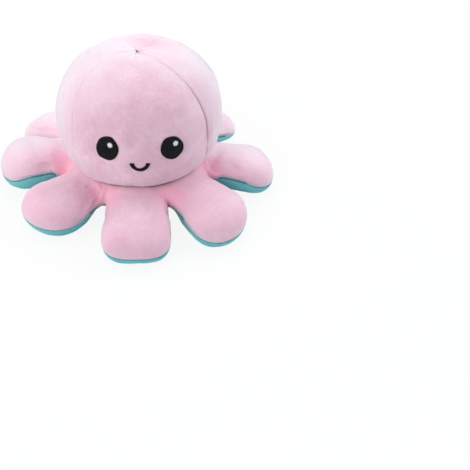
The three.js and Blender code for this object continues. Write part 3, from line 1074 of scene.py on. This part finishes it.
@dataclass(frozen=True)
class Arm:
    """One arm. Its twist lifts the near edge, in degrees, and its sway pushes the tip aside.

    The root is its half width beside the clefts, seam is its edge seam's height at the tip, and the
    tip is square by a power from 2, for round.
    """

    name: str
    bearing: float
    twist: float
    reach: float = 100.0
    half_width: float = 24.0
    crest: float = 29.4
    sway: float = 0.0
    root: float = 20.4
    seam: float = 10.5
    square: float = 2.0

    @property
    def out(self) -> Array:
        """The direction from the toy's axis out along the arm."""
        return np.array([math.sin(self.bearing * DEGREES), -math.cos(self.bearing * DEGREES)])

    @property
    def across(self) -> Array:
        """The direction across the arm, towards greater bearings."""
        return np.array([math.cos(self.bearing * DEGREES), math.sin(self.bearing * DEGREES)])

    @property
    def widest(self) -> float:
        """How far out its round end begins."""
        return self.reach - 0.875 * self.half_width

    def shift(self, out: Array) -> Array:
        """Gives how far the sway has pushed the arm aside at a distance out along it."""
        return self.sway * clamp01((out - 58.0) / (self.reach - 58.0)) ** 2


@dataclass
class Ring:
    """The eight padded arms and the ring of cloth between them and the head.

    It is sewn from eight sectors above and eight below, each from the crease or the pocket's mouth
    out to one arm's tip. They meet in the valleys between the arms, where nothing bends.
    """

    crease_radius: float = 43.8
    crease_height: float = 27.4
    crest_height: float = 29.4
    mouth_radius: float = 27.0
    mouth_height: float = 8.7
    foot_radius: float = 34.0
    web_radius: float = 55.5
    side_end: float = 61.0
    web_seam: float = 16.5
    full_depth: float = 21.0
    foot_depth: float = 15.0
    web_depth: float = 20.0
    roundness: float = 2.1
    hinge_height: float = 13.5
    bend_start: float = 54.0
    bend_end: float = 80.0
    tuck: float = 0.9
    rim_width: float = 2.3
    lumps: float = 0.6
    half_steps: int = 52
    skin_rows: int = 50
    arms: tuple[Arm, ...] = (
        Arm("front", -1, 4, half_width=23.9, root=22.0, square=2.9),
        Arm("front_right", 43.5, -5, reach=103.0, sway=-5.5),
        Arm("right", 87, -10, half_width=21.8, crest=27.4, sway=-7.0),
        Arm("back_right", 132, -4, 91.5, 18.6, 21.0, sway=-4.0, seam=5.5),
        Arm("back", 182, 0),
        Arm("back_left", 230.5, 0, 95.0, 19.4, 22.0, sway=14.0, seam=5.0, square=2.3),
        Arm("left", 271, 17, half_width=24.6, crest=31.2),
        Arm("front_left", 312.0, 2, reach=98.0, half_width=23.0, sway=-4.5),
    )
    outlines: list[Array] = field(default_factory=list)
    settling: Settling = field(default_factory=Settling)

    def __post_init__(self) -> None:
        """Draws every arm's outline on the plane."""
        self.outlines = [self.outline(i) for i in range(len(self.arms))]

    def half_turns(self, index: int) -> tuple[float, float]:
        """Gives the turns from an arm to the valleys before and after it, in degrees."""
        own = self.arms[index].bearing
        before = self.arms[index - 1].bearing
        after = self.arms[(index + 1) % len(self.arms)].bearing
        return ((own - before) % 360 / 2, (after - own) % 360 / 2)

    def width_at(self, arm: Arm, out: Array) -> Array:
        """Gives an arm's half width at a distance out along it, short of its round end."""
        share = smooth((out - 55.0) / (arm.widest - 55.0))
        return mix(min(arm.root, arm.half_width), arm.half_width, share)

    def half_outline(self, arm: Arm, half_turn: float) -> Array:
        """Draws one side of an arm, from the middle of the cleft out to the tip.

        Args:
            arm: the arm.
            half_turn: the turn from the arm to the cleft, in degrees.

        Returns:
            Points, each its distance out along the arm and across it.
        """
        turn = np.linspace(0, math.pi / 2, 50)
        out, aside = (clamp01(wave) ** (2 / arm.square) for wave in (np.cos(turn), np.sin(turn)))
        end = [arm.widest + (arm.reach - arm.widest) * out, arm.half_width * aside]
        straight = np.linspace(arm.widest, self.side_end, 30)[1:]
        side = np.concatenate([np.stack(end, -1), np.stack([straight, self.width_at(arm, straight)], -1)])
        corner = side[-1]
        heading = (side[-1] - side[-2]) / np.linalg.norm(side[-1] - side[-2])
        middle = np.array([math.cos(half_turn * DEGREES), math.sin(half_turn * DEGREES)])
        beyond = np.array([-middle[1], middle[0]])
        pull = (corner @ middle - self.web_radius) / (0.75 * -(heading @ middle))
        control = corner + pull * heading
        far_control, far_corner = (p - 2 * (p @ beyond) * beyond for p in (control, corner))
        t = np.linspace(0, 0.5, 30)[1:, None]
        near_part = (1 - t) ** 3 * corner + 3 * (1 - t) ** 2 * t * control
        cleft = near_part + 3 * (1 - t) * t**2 * far_control + t**3 * far_corner
        points = np.concatenate([side, cleft])
        gaps = np.linalg.norm(np.diff(points, axis=0), axis=1)
        crowding = 1 + 1.6 * (1 - smooth((points[1:, 0] - 58) / 14))
        travel = np.concatenate([[0], np.cumsum(gaps * crowding)])
        even = np.linspace(travel[-1], 0, self.half_steps + 1)
        return np.stack([np.interp(even, travel, points[:, k]) for k in (0, 1)], -1)

    def outline(self, index: int) -> Array:
        """Draws an arm's whole outline on the plane, from the valley before it to the one after."""
        arm = self.arms[index]
        before, after = (self.half_outline(arm, turn) for turn in self.half_turns(index))
        before = before * [1, -1]
        local = np.concatenate([before, after[::-1][1:]])
        return local[:, :1] * arm.out + local[:, 1:] * arm.across

    def depth(self, index: int, flat: Array) -> Array:
        """Gives how far inside the outline points are, eased so that no ridge shows.

        Args:
            index: which arm they belong to.
            flat: the points on the plane.

        Returns:
            Their depths, in millimetres.
        """
        near = [self.outlines[(index + k) % len(self.arms)] for k in (-1, 0, 1)]
        near = np.concatenate([near[0], near[1][1:], near[2][1:]])
        begin, run = near[:-1], np.diff(near, axis=0)
        offset = flat[:, None] - begin[None]
        share = clamp01((offset * run).sum(2) / (run**2).sum(1))
        gap = np.linalg.norm(offset - share[..., None] * run, axis=2)
        nearest = gap.min(axis=1)
        steps = np.linalg.norm(run, axis=1)
        spread = (steps / np.maximum(gap, 1.0) ** 6).sum(axis=1)
        eased = (spread / (3 * math.pi / 8)) ** -0.2
        return mix(nearest, eased, smooth((nearest - 3.0) / 6.0))

    def seam_height(self, arm: Arm, radius: Array) -> Array:
        """Gives the height of an arm's edge seam at a distance from the axis."""
        share = clamp01((radius - self.web_radius) / (arm.reach - self.web_radius))
        return mix(self.web_seam, arm.seam, share)

    def fullness(self, depth: Array, full: float) -> Array:
        """Gives the share of its thickness that padding has so deep inside the outline."""
        return (1 - (1 - clamp01(depth / full)) ** self.roundness) ** (1 / self.roundness)

    def rise_at(self, side: Side, arm: Arm, radius: Array, depth: Array, middle: Array) -> Array:
        """Gives how far the cloth is above or below the edge seam, by its arm alone in its middle."""
        seam = self.seam_height(arm, radius)
        if side is Side.TOP:
            crest = mix(self.crest_height, arm.crest, smooth((radius - 46) / 12) * middle)
            crest = mix(self.crease_height, crest, smooth((radius - self.crease_radius) / 4.5))
            crest = crest + 1.2 * bell(radius - 50, 4.0)
            return (crest - seam) * self.fullness(depth, self.full_depth)
        near_web = 1 - smooth((radius - self.web_radius) / 15)
        share = mix(self.fullness(depth, self.foot_depth), clamp01(depth / self.web_depth), near_web)
        return -(seam + 1.2) * share

    def skin(self, index: int, side: Side, across: Array, inwards: Array) -> Laid:
        """Gives points of an arm's outside and of its sector of the ring.

        Args:
            index: which arm.
            side: which side of it.
            across: shares from the valley before it to the valley after it.
            inwards: shares from the edge seam in to the crease or the mouth.

        Returns:
            The points, with their painted crease shade, edge seam, painted shade tint and painted light.
        """
        arm = self.arms[index]
        outline = self.outlines[index]
        step = across * (len(outline) - 1)
        edge = np.stack([np.interp(step, np.arange(len(outline)), outline[:, k]) for k in (0, 1)], -1)
        before, after = self.half_turns(index)
        bearing = arm.bearing + np.where(across < 0.5, (2 * across - 1) * before, (2 * across - 1) * after)
        inner = self.crease_radius if side is Side.TOP else self.mouth_radius
        start = around(bearing, inner, 0.0)[:, :2]
        share = inwards**2.2
        flat = edge + (start - edge) * share[:, None]
        inward = (start - edge) / np.linalg.norm(start - edge, axis=1)[:, None]
        radius = np.linalg.norm(flat, axis=1)
        depth = self.depth(index, flat)
        seam = self.seam_height(arm, radius)
        middle = smooth(np.minimum(across, 1 - across) / 0.2)
        rise = self.rise_at(side, arm, radius, depth, middle)
        travel = np.hypot(depth, rise)
        flat = flat + inward * (self.tuck * bell(travel, 1.5))[:, None]
        base = np.concatenate([flat, seam[:, None]], axis=1)
        lump = self.lumps * unevenness(base, 15.0, 2.0) + 0.3 * unevenness(base, 6.0, 7.0)
        calm = smooth(travel / 8) * smooth((radius - inner) / 4)
        rise = rise + lump * calm * side.value
        points = self.rolled(arm, flat, seam, rise)
        # Painted crease shade on the top, at the crease under the head.
        crease = 0 * radius
        if side is Side.TOP:
            crease = bell(radius - self.crease_radius, 1.25)
        else:
            points[:, 2] = self.rested(points[:, 2], radius)
        return Laid(points, crease, bell(travel, self.rim_width), *self.tints(points, radius, depth))

    def tints(self, points: Array, radius: Array, depth: Array) -> tuple[Array, Array]:
        """Gives an arm's painted shade tint, in the valleys and on its flanks, and its painted light, on the side and
        back arms.

        Args:
            points: the points.
            radius: their distances from the axis.
            depth: how far inside the outline they are.

        Returns:
            The painted shade tint and the painted light.
        """
        # Painted shade tint: saturated colour painted in the valleys between the arms, along the flanks near the edge
        # seam and on the ring near the head.
        valley = bell(radius - self.web_radius, 8.0) * (1 - smooth(depth / 15))
        flank = 0.3 * bell(depth - 5, 5.0)
        beside = bell(radius - 52, 5.0)
        # Painted light: paler on the side and back arms and on the ring near the head, as if more brightly lit.
        bloom = 0.65 * smooth((np.abs(bearing_of(points)) - 60) / 40) + 0.35 * beside
        return clamp01(valley + flank + 0.3 * beside), clamp01(bloom)

    def settled(self, index: int, side: Side, across: Array, inwards: Array) -> Laid:
        """Gives an arm's outside after its cloth has settled, with the valleys kept smooth."""
        laid = self.skin(index, side, across, inwards)
        if side is Side.UNDERSIDE:
            return laid
        calm = smooth(across / 0.1) * smooth((1 - across) / 0.1) * smooth((1 - inwards) / 0.2)
        move = self.settling.moved(f"{self.arms[index].name}_arm", across, inwards) * calm[:, None]
        return replace(laid, points=laid.points + move)

    def settle(self, settling: Settling) -> None:
        """Hands the arms' upper sheets to the settling, which then moves them."""
        for index, arm in enumerate(self.arms):
            settling.sheets[f"{arm.name}_arm"] = (partial(self.skin, index, Side.TOP), loose)
        self.settling = settling

    def rested(self, height: Array, radius: Array) -> Array:
        """Presses the underside flat on the floor, and leads it up to the pocket's mouth."""
        soft = np.where(height > 1, height, np.where(height < -1, 0, (height + 1) ** 2 / 4))
        inside = clamp01((self.foot_radius - radius) / (self.foot_radius - self.mouth_radius))
        lip = self.mouth_height * (1 - np.sqrt(1 - inside**2))
        return np.where(radius < self.foot_radius, lip, soft)

    def rolled(self, arm: Arm, flat: Array, seam: Array, rise: Array) -> Array:
        """Rolls an arm about its own length, so that one edge lifts.

        Args:
            arm: the arm.
            flat: the points on the plane.
            seam: the edge seam's height at each.
            rise: how far above the seam each is.

        Returns:
            The points in space.
        """
        out, across = flat @ arm.out, flat @ arm.across
        share = smooth((out - 52) / 12) * mix(1.0, 0.3, smooth((out - 76) / 20))
        roll = arm.twist * DEGREES * share
        turned = across * np.cos(roll) - rise * np.sin(roll) + arm.shift(out)
        height = seam + rise * np.cos(roll) + across * np.sin(roll)
        plane = out[:, None] * arm.out + turned[:, None] * arm.across
        return np.concatenate([plane, height[:, None]], axis=1)

    def filling(self, index: int) -> bpy.types.Object:
        """Makes the fibre of one arm and of its sector of the ring."""
        mouth_end, crease_start = 0.46, 0.92

        def place(across: Array, girth: Array) -> Laid:
            under = self.skin(index, Side.UNDERSIDE, across, clamp01(1 - girth / mouth_end)).points
            top_share = clamp01((girth - mouth_end) / (crease_start - mouth_end))
            top = self.skin(index, Side.TOP, across, top_share).points
            mouth = self.skin(index, Side.UNDERSIDE, across, 0 * across + 1).points
            wall = smooth((girth - crease_start) / (1 - crease_start))
            outer = np.where((girth < mouth_end)[:, None], under, top)
            return Laid(mix(outer, mouth, wall[:, None]))

        bm = bmesh.new()
        add_sheet(bm, SheetSteps(40, 72), place)
        bmesh.ops.remove_doubles(bm, verts=bm.verts[:], dist=0.02 * MM)
        open_edges = [e for e in bm.edges if e.is_boundary]
        bmesh.ops.holes_fill(bm, edges=open_edges, sides=0)
        bmesh.ops.recalc_face_normals(bm, faces=bm.faces[:])
        bm.normal_update()
        inset = (PLUSH + 0.5) * MM
        for vert, step in [(v, v.normal * inset) for v in bm.verts]:
            vert.co -= step
        return finished(bm, f"{self.arms[index].name}_arm_padding")

    def bend(self, piece: bpy.types.Object, index: int) -> bpy.types.Object:
        """Lets a piece bend from the body into its arm."""
        arm = self.arms[index]
        ends = [(*(arm.out * r * MM), self.hinge_height * MM) for r in (self.bend_start, self.bend_end)]
        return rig.blend(piece, BODY, f"{arm.name}_arm", start=ends[0], end=ends[1])

    def build(self, wardrobe: Wardrobe) -> None:
        """Makes each arm's two skins and its filling, dresses them and lets them bend.

        Args:
            wardrobe: the toy's finishes.
        """
        steps = SheetSteps(2 * self.half_steps, self.skin_rows)
        for index, arm in enumerate(self.arms):
            looks = (
                (Side.TOP, "top", Slot.PINK, f"{arm.name}_arm_top", "collar_top"),
                (Side.UNDERSIDE, "underside", Slot.TEAL, f"{arm.name}_arm_underside", "collar_underside"),
            )
            for side, word, slot, *nodes in looks:
                sheet = partial(self.settled, index, side)
                shell = cloth_shell(f"{arm.name}_arm_{word}_skin", steps, sheet, side is Side.UNDERSIDE)
                wardrobe.dress(shell, slot, *nodes)
                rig.padded(self.bend(shell, index), fill=0.75)
            nodes = f"{arm.name}_arm_filling", "collar_filling"
            padding = wardrobe.dress(self.filling(index), Slot.FIBRE, *nodes)
            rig.padded(self.bend(padding, index), fill=0.75)


# The embroidered faces


Lifting = Callable[[Array, Array, Array], Array]


@dataclass(frozen=True)
class Stitching:
    """How the satin stitches of an embroidered shape lie."""

    pitch: float = 0.62
    ridge: float = 0.09
    raggedness: float = 0.22
    thickness: float = 0.85

    def rows(self, across: Array) -> Array:
        """Gives the height of the stitches' ridges at a distance across them."""
        return self.ridge * (np.abs(np.sin(across / self.pitch * math.pi)) - 0.5)

    def ragged(self, across: Array, seed: float) -> Array:
        """Gives how much longer or shorter each stitch is than the outline."""
        stitch = np.floor(across / self.pitch)
        return self.raggedness * np.sin(stitch * 12.9898 + seed * 4.1)


@dataclass(frozen=True)
class EyeShape:
    """An embroidered eye between a lower and an upper edge."""

    half_width: float
    drop: float
    brow: float
    slope: float = 0.0
    power: float = 2.05

    def edges(self, across: Array) -> tuple[Array, Array]:
        """Gives the lower and the upper edge at a distance across. A round eye has no brow."""
        arc = clamp01(1 - np.abs(across / self.half_width) ** self.power) ** (1 / self.power)
        if self.brow == 0:
            return -self.drop * arc, self.drop * arc
        corner = arc**0.25
        return -self.drop * arc, self.brow * corner + self.slope * across * corner


@dataclass
class Embroidery:
    """Eyes, glints and a mouth on one of the toy's two faces."""

    place: Callable[[float, float], Lifting]
    stitching: Stitching = Stitching()
    standoff: float = 0.25
    mouth_turn: float = 82.0
    mouth_stroke: tuple[float, float] = (2.3, 3.0)
    mouth_height: float = 1.14

    def eye(self, name: str, shape: EyeShape, bearing: float, height: float, lean: float) -> bpy.types.Object:
        """Embroiders an eye in upright satin stitches.

        Args:
            name: the piece's name.
            shape: its outline.
            bearing: its middle's bearing.
            height: its middle's height.
            lean: how far it leans, in degrees.

        Returns:
            The eye.
        """
        lay = self.place(bearing, height)
        cos, sin = math.cos(lean * DEGREES), math.sin(lean * DEGREES)

        def place(share: Array, along: Array) -> Laid:
            across = shape.half_width * (2 * share - 1)
            low, high = shape.edges(across)
            low = low - self.stitching.ragged(across, 1.0)
            high = high + self.stitching.ragged(across, 2.0)
            up = mix(low, high, along)
            round_off = 1 - np.maximum(np.abs(2 * along - 1), np.abs(2 * share - 1)) ** 8
            brick = 0.05 * np.cos(up / 3.4 * 2 * math.pi + np.floor(across / self.stitching.pitch) * 2.2)
            lift = self.standoff + self.stitching.thickness * round_off
            lift = lift + (self.stitching.rows(across) + brick) * round_off
            return Laid(lay(across * cos + up * sin, up * cos - across * sin, lift))

        return self.stitched(name, SheetSteps(128, 64), place)

    def mouth(self, name: str, bearing: float, height: float, radius: float, bow: int) -> bpy.types.Object:
        """Embroiders a mouth in short stitches across its line.

        Args:
            name: the piece's name.
            bearing: its middle's bearing.
            height: the height of its curve's centre.
            radius: its curve's radius.
            bow: 1 for a smile and -1 for a frown.

        Returns:
            The mouth.
        """
        lay = self.place(bearing, height)

        def place(share: Array, along: Array) -> Laid:
            turn = mix(-self.mouth_turn, self.mouth_turn, along) * DEGREES
            travel = radius * turn
            stroke = mix(*self.mouth_stroke, np.abs(2 * along - 1) ** 2)
            stroke = stroke + self.stitching.ragged(travel, 3.0)
            reach = radius + (share - 0.5) * stroke
            round_off = 1 - np.maximum(np.abs(2 * share - 1) ** 4, np.abs(2 * along - 1) ** 40)
            lift = self.standoff + self.stitching.thickness * round_off
            lift = lift + self.stitching.rows(travel) * round_off
            return Laid(lay(reach * np.sin(turn), -self.mouth_height * bow * reach * np.cos(turn), lift))

        return self.stitched(name, SheetSteps(10, 150), place)

    def stitched(self, name: str, steps: SheetSteps, place: Placing) -> bpy.types.Object:
        """Makes an embroidered shape and gives it a back."""
        bm = bmesh.new()
        add_sheet(bm, steps, place)
        bmesh.ops.remove_doubles(bm, verts=bm.verts[:], dist=0.01 * MM)
        bmesh.ops.dissolve_degenerate(bm, dist=0.005 * MM, edges=bm.edges[:])
        bmesh.ops.solidify(bm, geom=bm.faces[:], thickness=0.5 * MM)
        return finished(bm, name)

    def glint(self, name: str, bearing: float, height: float, shift: tuple[float, float]) -> bpy.types.Object:
        """Embroiders a glint as a star of short stitches.

        Args:
            name: the piece's name.
            bearing: the bearing that it is measured from.
            height: the height that it is measured from.
            shift: how far across and up its middle is.

        Returns:
            The glint.
        """
        lay = self.place(bearing, height)
        bm = bmesh.new()
        count, length, thick = 9, 0.95, 0.42
        for stitch in range(count):
            turn = (stitch + 0.2) * 2 * math.pi / count
            made = bmesh.ops.create_uvsphere(bm, u_segments=10, v_segments=8, radius=1.0)
            ball = np.array([v.co for v in made["verts"]])
            along = 1.08 + ball[:, 0] * length
            aside = ball[:, 1] * thick * (0.8 + 0.25 * ball[:, 0])
            across = along * math.cos(turn) - aside * math.sin(turn) + shift[0]
            up = along * math.sin(turn) + aside * math.cos(turn) + shift[1]
            lift = self.standoff + self.stitching.thickness + 0.05 + 0.3 * ball[:, 2]
            for vert, point in zip(made["verts"], lay(across, up, lift) * MM, strict=True):
                vert.co = point
        bmesh.ops.recalc_face_normals(bm, faces=bm.faces[:])
        return finished(bm, name)


@dataclass
class SmilingFace:
    """The round-eyed face on the head's front gore.

    Its places are measured on a plain dome of height semi and radius wide.
    """

    head: Head
    middle: float = 1.2
    eye_bearing: float = 22.1
    eye_height: float = 68.7
    eye: EyeShape = EyeShape(8.0, 9.0, 0.0)
    leans: tuple[float, float] = (20.0, -34.0)
    glint_shift: tuple[float, float] = (2.25, 3.35)
    smile_height: float = 61.1
    smile_radius: float = 5.65
    semi: float = 58.0
    wide: float = 58.5

    def on_head(self, bearing: float, height: float) -> Lifting:
        """Gives the way to lay stitches round a place on the head."""
        polar = math.acos((height - self.head.equator) / self.semi) / DEGREES
        return lambda across, up, lift: self.head.surface(
            bearing + across / self.wide / DEGREES, polar - up / self.semi / DEGREES, lift
        )

    def eyes(self) -> list[tuple[str, int, float]]:
        """Gives each eye's name, the side that it is on and its bearing."""
        sides = ("left", -1), ("right", 1)
        return [(side, sign, self.middle + sign * self.eye_bearing) for side, sign in sides]

    def presses(self) -> list[Press]:
        """Gives where this face draws the head's cloth in."""
        pressed = [Press(bearing, self.eye_height, 9.0, 0.5) for _, _, bearing in self.eyes()]
        return [*pressed, Press(self.middle, self.smile_height - 4, 7.0, 0.35)]

    def build(self, wardrobe: Wardrobe) -> None:
        """Embroiders the face.

        Args:
            wardrobe: the toy's finishes.
        """
        work = Embroidery(self.on_head)
        for side, sign, bearing in self.eyes():
            lean = self.leans[sign > 0]
            eye = work.eye(f"{side}_eye_stitches", self.eye, bearing, self.eye_height, lean)
            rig.ride(wardrobe.dress(eye, Slot.BLACK, f"{side}_eye"), BODY)
            glint = work.glint(f"{side}_glint_stitches", bearing, self.eye_height, self.glint_shift)
            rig.ride(wardrobe.dress(glint, Slot.WHITE, f"{side}_eye_glint"), BODY)
        smile = work.mouth("smile_stitches", self.middle, self.smile_height, self.smile_radius, 1)
        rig.ride(wardrobe.dress(smile, Slot.BLACK, "smile"), BODY)


@dataclass
class CrossFace:
    """The slant-eyed face on the pocket's lining."""

    pocket: Pocket
    eye_bearing: float = 37.0
    eye_height: float = 52.0
    half_width: float = 7.6
    drop: float = 8.4
    brow: float = 5.4
    slope: float = 0.24
    glint_shift: tuple[float, float] = (2.1, 1.0)
    frown_height: float = 34.0
    frown_radius: float = 6.4

    def on_lining(self, bearing: float, height: float) -> Lifting:
        """Gives the way to lay stitches round a place on the lining."""
        pocket = self.pocket
        drop = (pocket.mouth_height - pocket.equator) / math.cos(pocket.mouth_polar * DEGREES)
        semi = pocket.rise if height > pocket.equator else drop
        polar = math.acos((height - pocket.equator) / semi) / DEGREES
        return lambda across, up, lift: pocket.surface(
            bearing - across / pocket.radius / DEGREES, polar - up / semi / DEGREES, lift
        )

    def build(self, wardrobe: Wardrobe) -> None:
        """Embroiders the face.

        Args:
            wardrobe: the toy's finishes.
        """
        work = Embroidery(self.on_lining)
        for side, sign in (("left", -1), ("right", 1)):
            shape = EyeShape(self.half_width, self.drop, self.brow, -sign * self.slope)
            bearing = sign * self.eye_bearing
            eye = work.eye(f"lining_{side}_eye_stitches", shape, bearing, self.eye_height, 0.0)
            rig.ride(wardrobe.dress(eye, Slot.BLACK, f"lining_{side}_eye"), BODY)
            shift = (-self.glint_shift[0], self.glint_shift[1])
            glint = work.glint(f"lining_{side}_glint_stitches", bearing, self.eye_height, shift)
            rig.ride(wardrobe.dress(glint, Slot.WHITE, f"lining_{side}_glint"), BODY)
        frown = work.mouth("frown_stitches", 0.0, self.frown_height, self.frown_radius, -1)
        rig.ride(wardrobe.dress(frown, Slot.BLACK, "frown"), BODY)


# The studio


def facing(aim: Vector) -> Matrix:
    """Gives the turn of a lamp or camera that looks along a direction."""
    return aim.to_track_quat("-Z", "Y").to_matrix().to_4x4()


@dataclass(frozen=True)
class Lamp:
    """A square lamp that looks at the toy."""

    name: str
    place: tuple[float, float, float]
    power: float
    colour: Colour
    size: float = 1000

    def hang(self) -> None:
        """Hangs it in its place."""
        data = bpy.data.lights.new(self.name, "AREA")
        data.size, data.energy, data.color = self.size * MM, self.power, self.colour
        lamp = bpy.data.objects.new(self.name, data)
        spot = Vector(self.place) * MM
        lamp.matrix_world = Matrix.Translation(spot) @ facing(Vector((0, 0, 0.04)) - spot)
        bpy.context.scene.collection.objects.link(lamp)


@dataclass
class Studio:
    """A pale floor, soft light from the upper left and the photograph's camera."""

    camera_place: tuple[float, float, float] = (1.854, -632.908, 533.722)
    camera_aim: tuple[float, float, float] = (75.906, 0.0, -61.341)
    camera_roll: float = 4.303
    lens: float = 84.302
    lamps: tuple[Lamp, ...] = (
        Lamp("key", (-850, -800, 900), 10.0, (1.0, 1.0, 0.95)),
        Lamp("top", (0, 600, 1150), 7.0, (0.94, 1.0, 0.96)),
        Lamp("left", (-1050, 300, 750), 4.5, (0.94, 1.0, 0.96)),
        Lamp("right", (1050, 300, 700), 9.8, (0.92, 1.0, 0.97)),
    )
    sky: Colour = (0.78, 0.84, 1.0)
    sky_strength: float = 0.3
    floor_white: float = 0.9

    def camera(self) -> None:
        """Sets the camera where the photograph was taken from."""
        data = bpy.data.cameras.new("camera")
        data.lens, data.sensor_width = self.lens, 36.0
        data.clip_start, data.clip_end = 0.01, 20.0
        place, aim = Vector(self.camera_place) * MM, Vector(self.camera_aim) * MM
        roll = Matrix.Rotation(self.camera_roll * DEGREES, 4, "Z")
        camera = bpy.data.objects.new("camera", data)
        camera.matrix_world = Matrix.Translation(place) @ facing(aim - place) @ roll
        bpy.context.scene.collection.objects.link(camera)
        bpy.context.scene.camera = camera

    def show(self, tree: bpy.types.NodeTree, lit: Socket, seen: Socket, share: float, end: str) -> None:
        """Shows the camera, mirrors and glass a share of one shader, and all else another.

        Args:
            tree: the nodes of the floor or the room.
            lit: the shader that lights the toy.
            seen: the shader that is seen.
            share: how much of it is seen.
            end: the name of the tree's last node.
        """
        rays = tree.nodes.new("ShaderNodeLightPath").outputs
        arrives = maths(tree, "MAXIMUM", rays["Is Camera Ray"], rays["Is Glossy Ray"])
        arrives = maths(tree, "MAXIMUM", arrives, rays["Is Transmission Ray"])
        both = tree.nodes.new("ShaderNodeMixShader")
        tree.links.new(maths(tree, "MULTIPLY", arrives, share), both.inputs["Fac"])
        tree.links.new(lit, both.inputs[1])
        tree.links.new(seen, both.inputs[2])
        tree.links.new(both.outputs["Shader"], tree.nodes[end].inputs["Surface"])

    def floor(self) -> None:
        """Lays the floor, which shows white and keeps a soft shadow."""
        bm = bmesh.new()
        bmesh.ops.create_grid(bm, x_segments=1, y_segments=1, size=6.0)
        floor = finished(bm, "floor")
        material = bpy.data.materials.new("pale_floor")
        material.use_nodes = True
        tree = material.node_tree
        shader = tree.nodes["Principled BSDF"]
        shader.inputs["Base Color"].default_value = (0.86, 0.86, 0.87, 1)
        shader.inputs["Roughness"].default_value = 1.0
        shader.inputs["Specular IOR Level"].default_value = 0.0
        glow = tree.nodes.new("ShaderNodeEmission")
        glow.inputs["Color"].default_value = (1, 1, 1, 1)
        lit, seen = shader.outputs["BSDF"], glow.outputs["Emission"]
        self.show(tree, lit, seen, self.floor_white, "Material Output")
        floor.data.materials.append(material)
        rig.stage(floor)

    def world(self) -> None:
        """Fills the room with plain light, and shows white behind everything."""
        world = bpy.data.worlds.new("room")
        world.use_nodes = True
        tree = world.node_tree
        fill = tree.nodes["Background"]
        fill.inputs["Color"].default_value = (*self.sky, 1)
        fill.inputs["Strength"].default_value = self.sky_strength
        white = tree.nodes.new("ShaderNodeBackground")
        white.inputs["Color"].default_value = (1, 1, 1, 1)
        self.show(tree, fill.outputs["Background"], white.outputs["Background"], 1.0, "World Output")
        bpy.context.scene.world = world

    def build(self) -> None:
        """Sets up the whole studio."""
        self.camera()
        for lamp in self.lamps:
            lamp.hang()
        self.floor()
        self.world()
        bpy.context.scene.view_settings.view_transform = "Standard"


def write_sizes() -> None:
    boxes = {"cad": CAD_BOX, "visual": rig.bounds()}
    plain = {name: [list(corner) for corner in corners] for name, corners in boxes.items()}
    with open("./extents.json", "w") as file:
        json.dump(plain, file)


def main() -> None:
    """Builds the toy and its studio."""
    logging.basicConfig(level=logging.INFO, format="%(name)s %(message)s")
    Studio().build()
    wardrobe = Wardrobe()
    head = Head()
    smiling = SmilingFace(head)
    head.presses = smiling.presses()
    ring = Ring()
    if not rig.quick():
        settling = Settling()
        head.settle(settling)
        ring.settle(settling)
        settling.run()
    head.build(wardrobe)
    pocket = Pocket()
    pocket.build(wardrobe)
    ring.build(wardrobe)
    smiling.build(wardrobe)
    CrossFace(pocket).build(wardrobe)
    write_sizes()


if __name__ == "__main__":
    main()
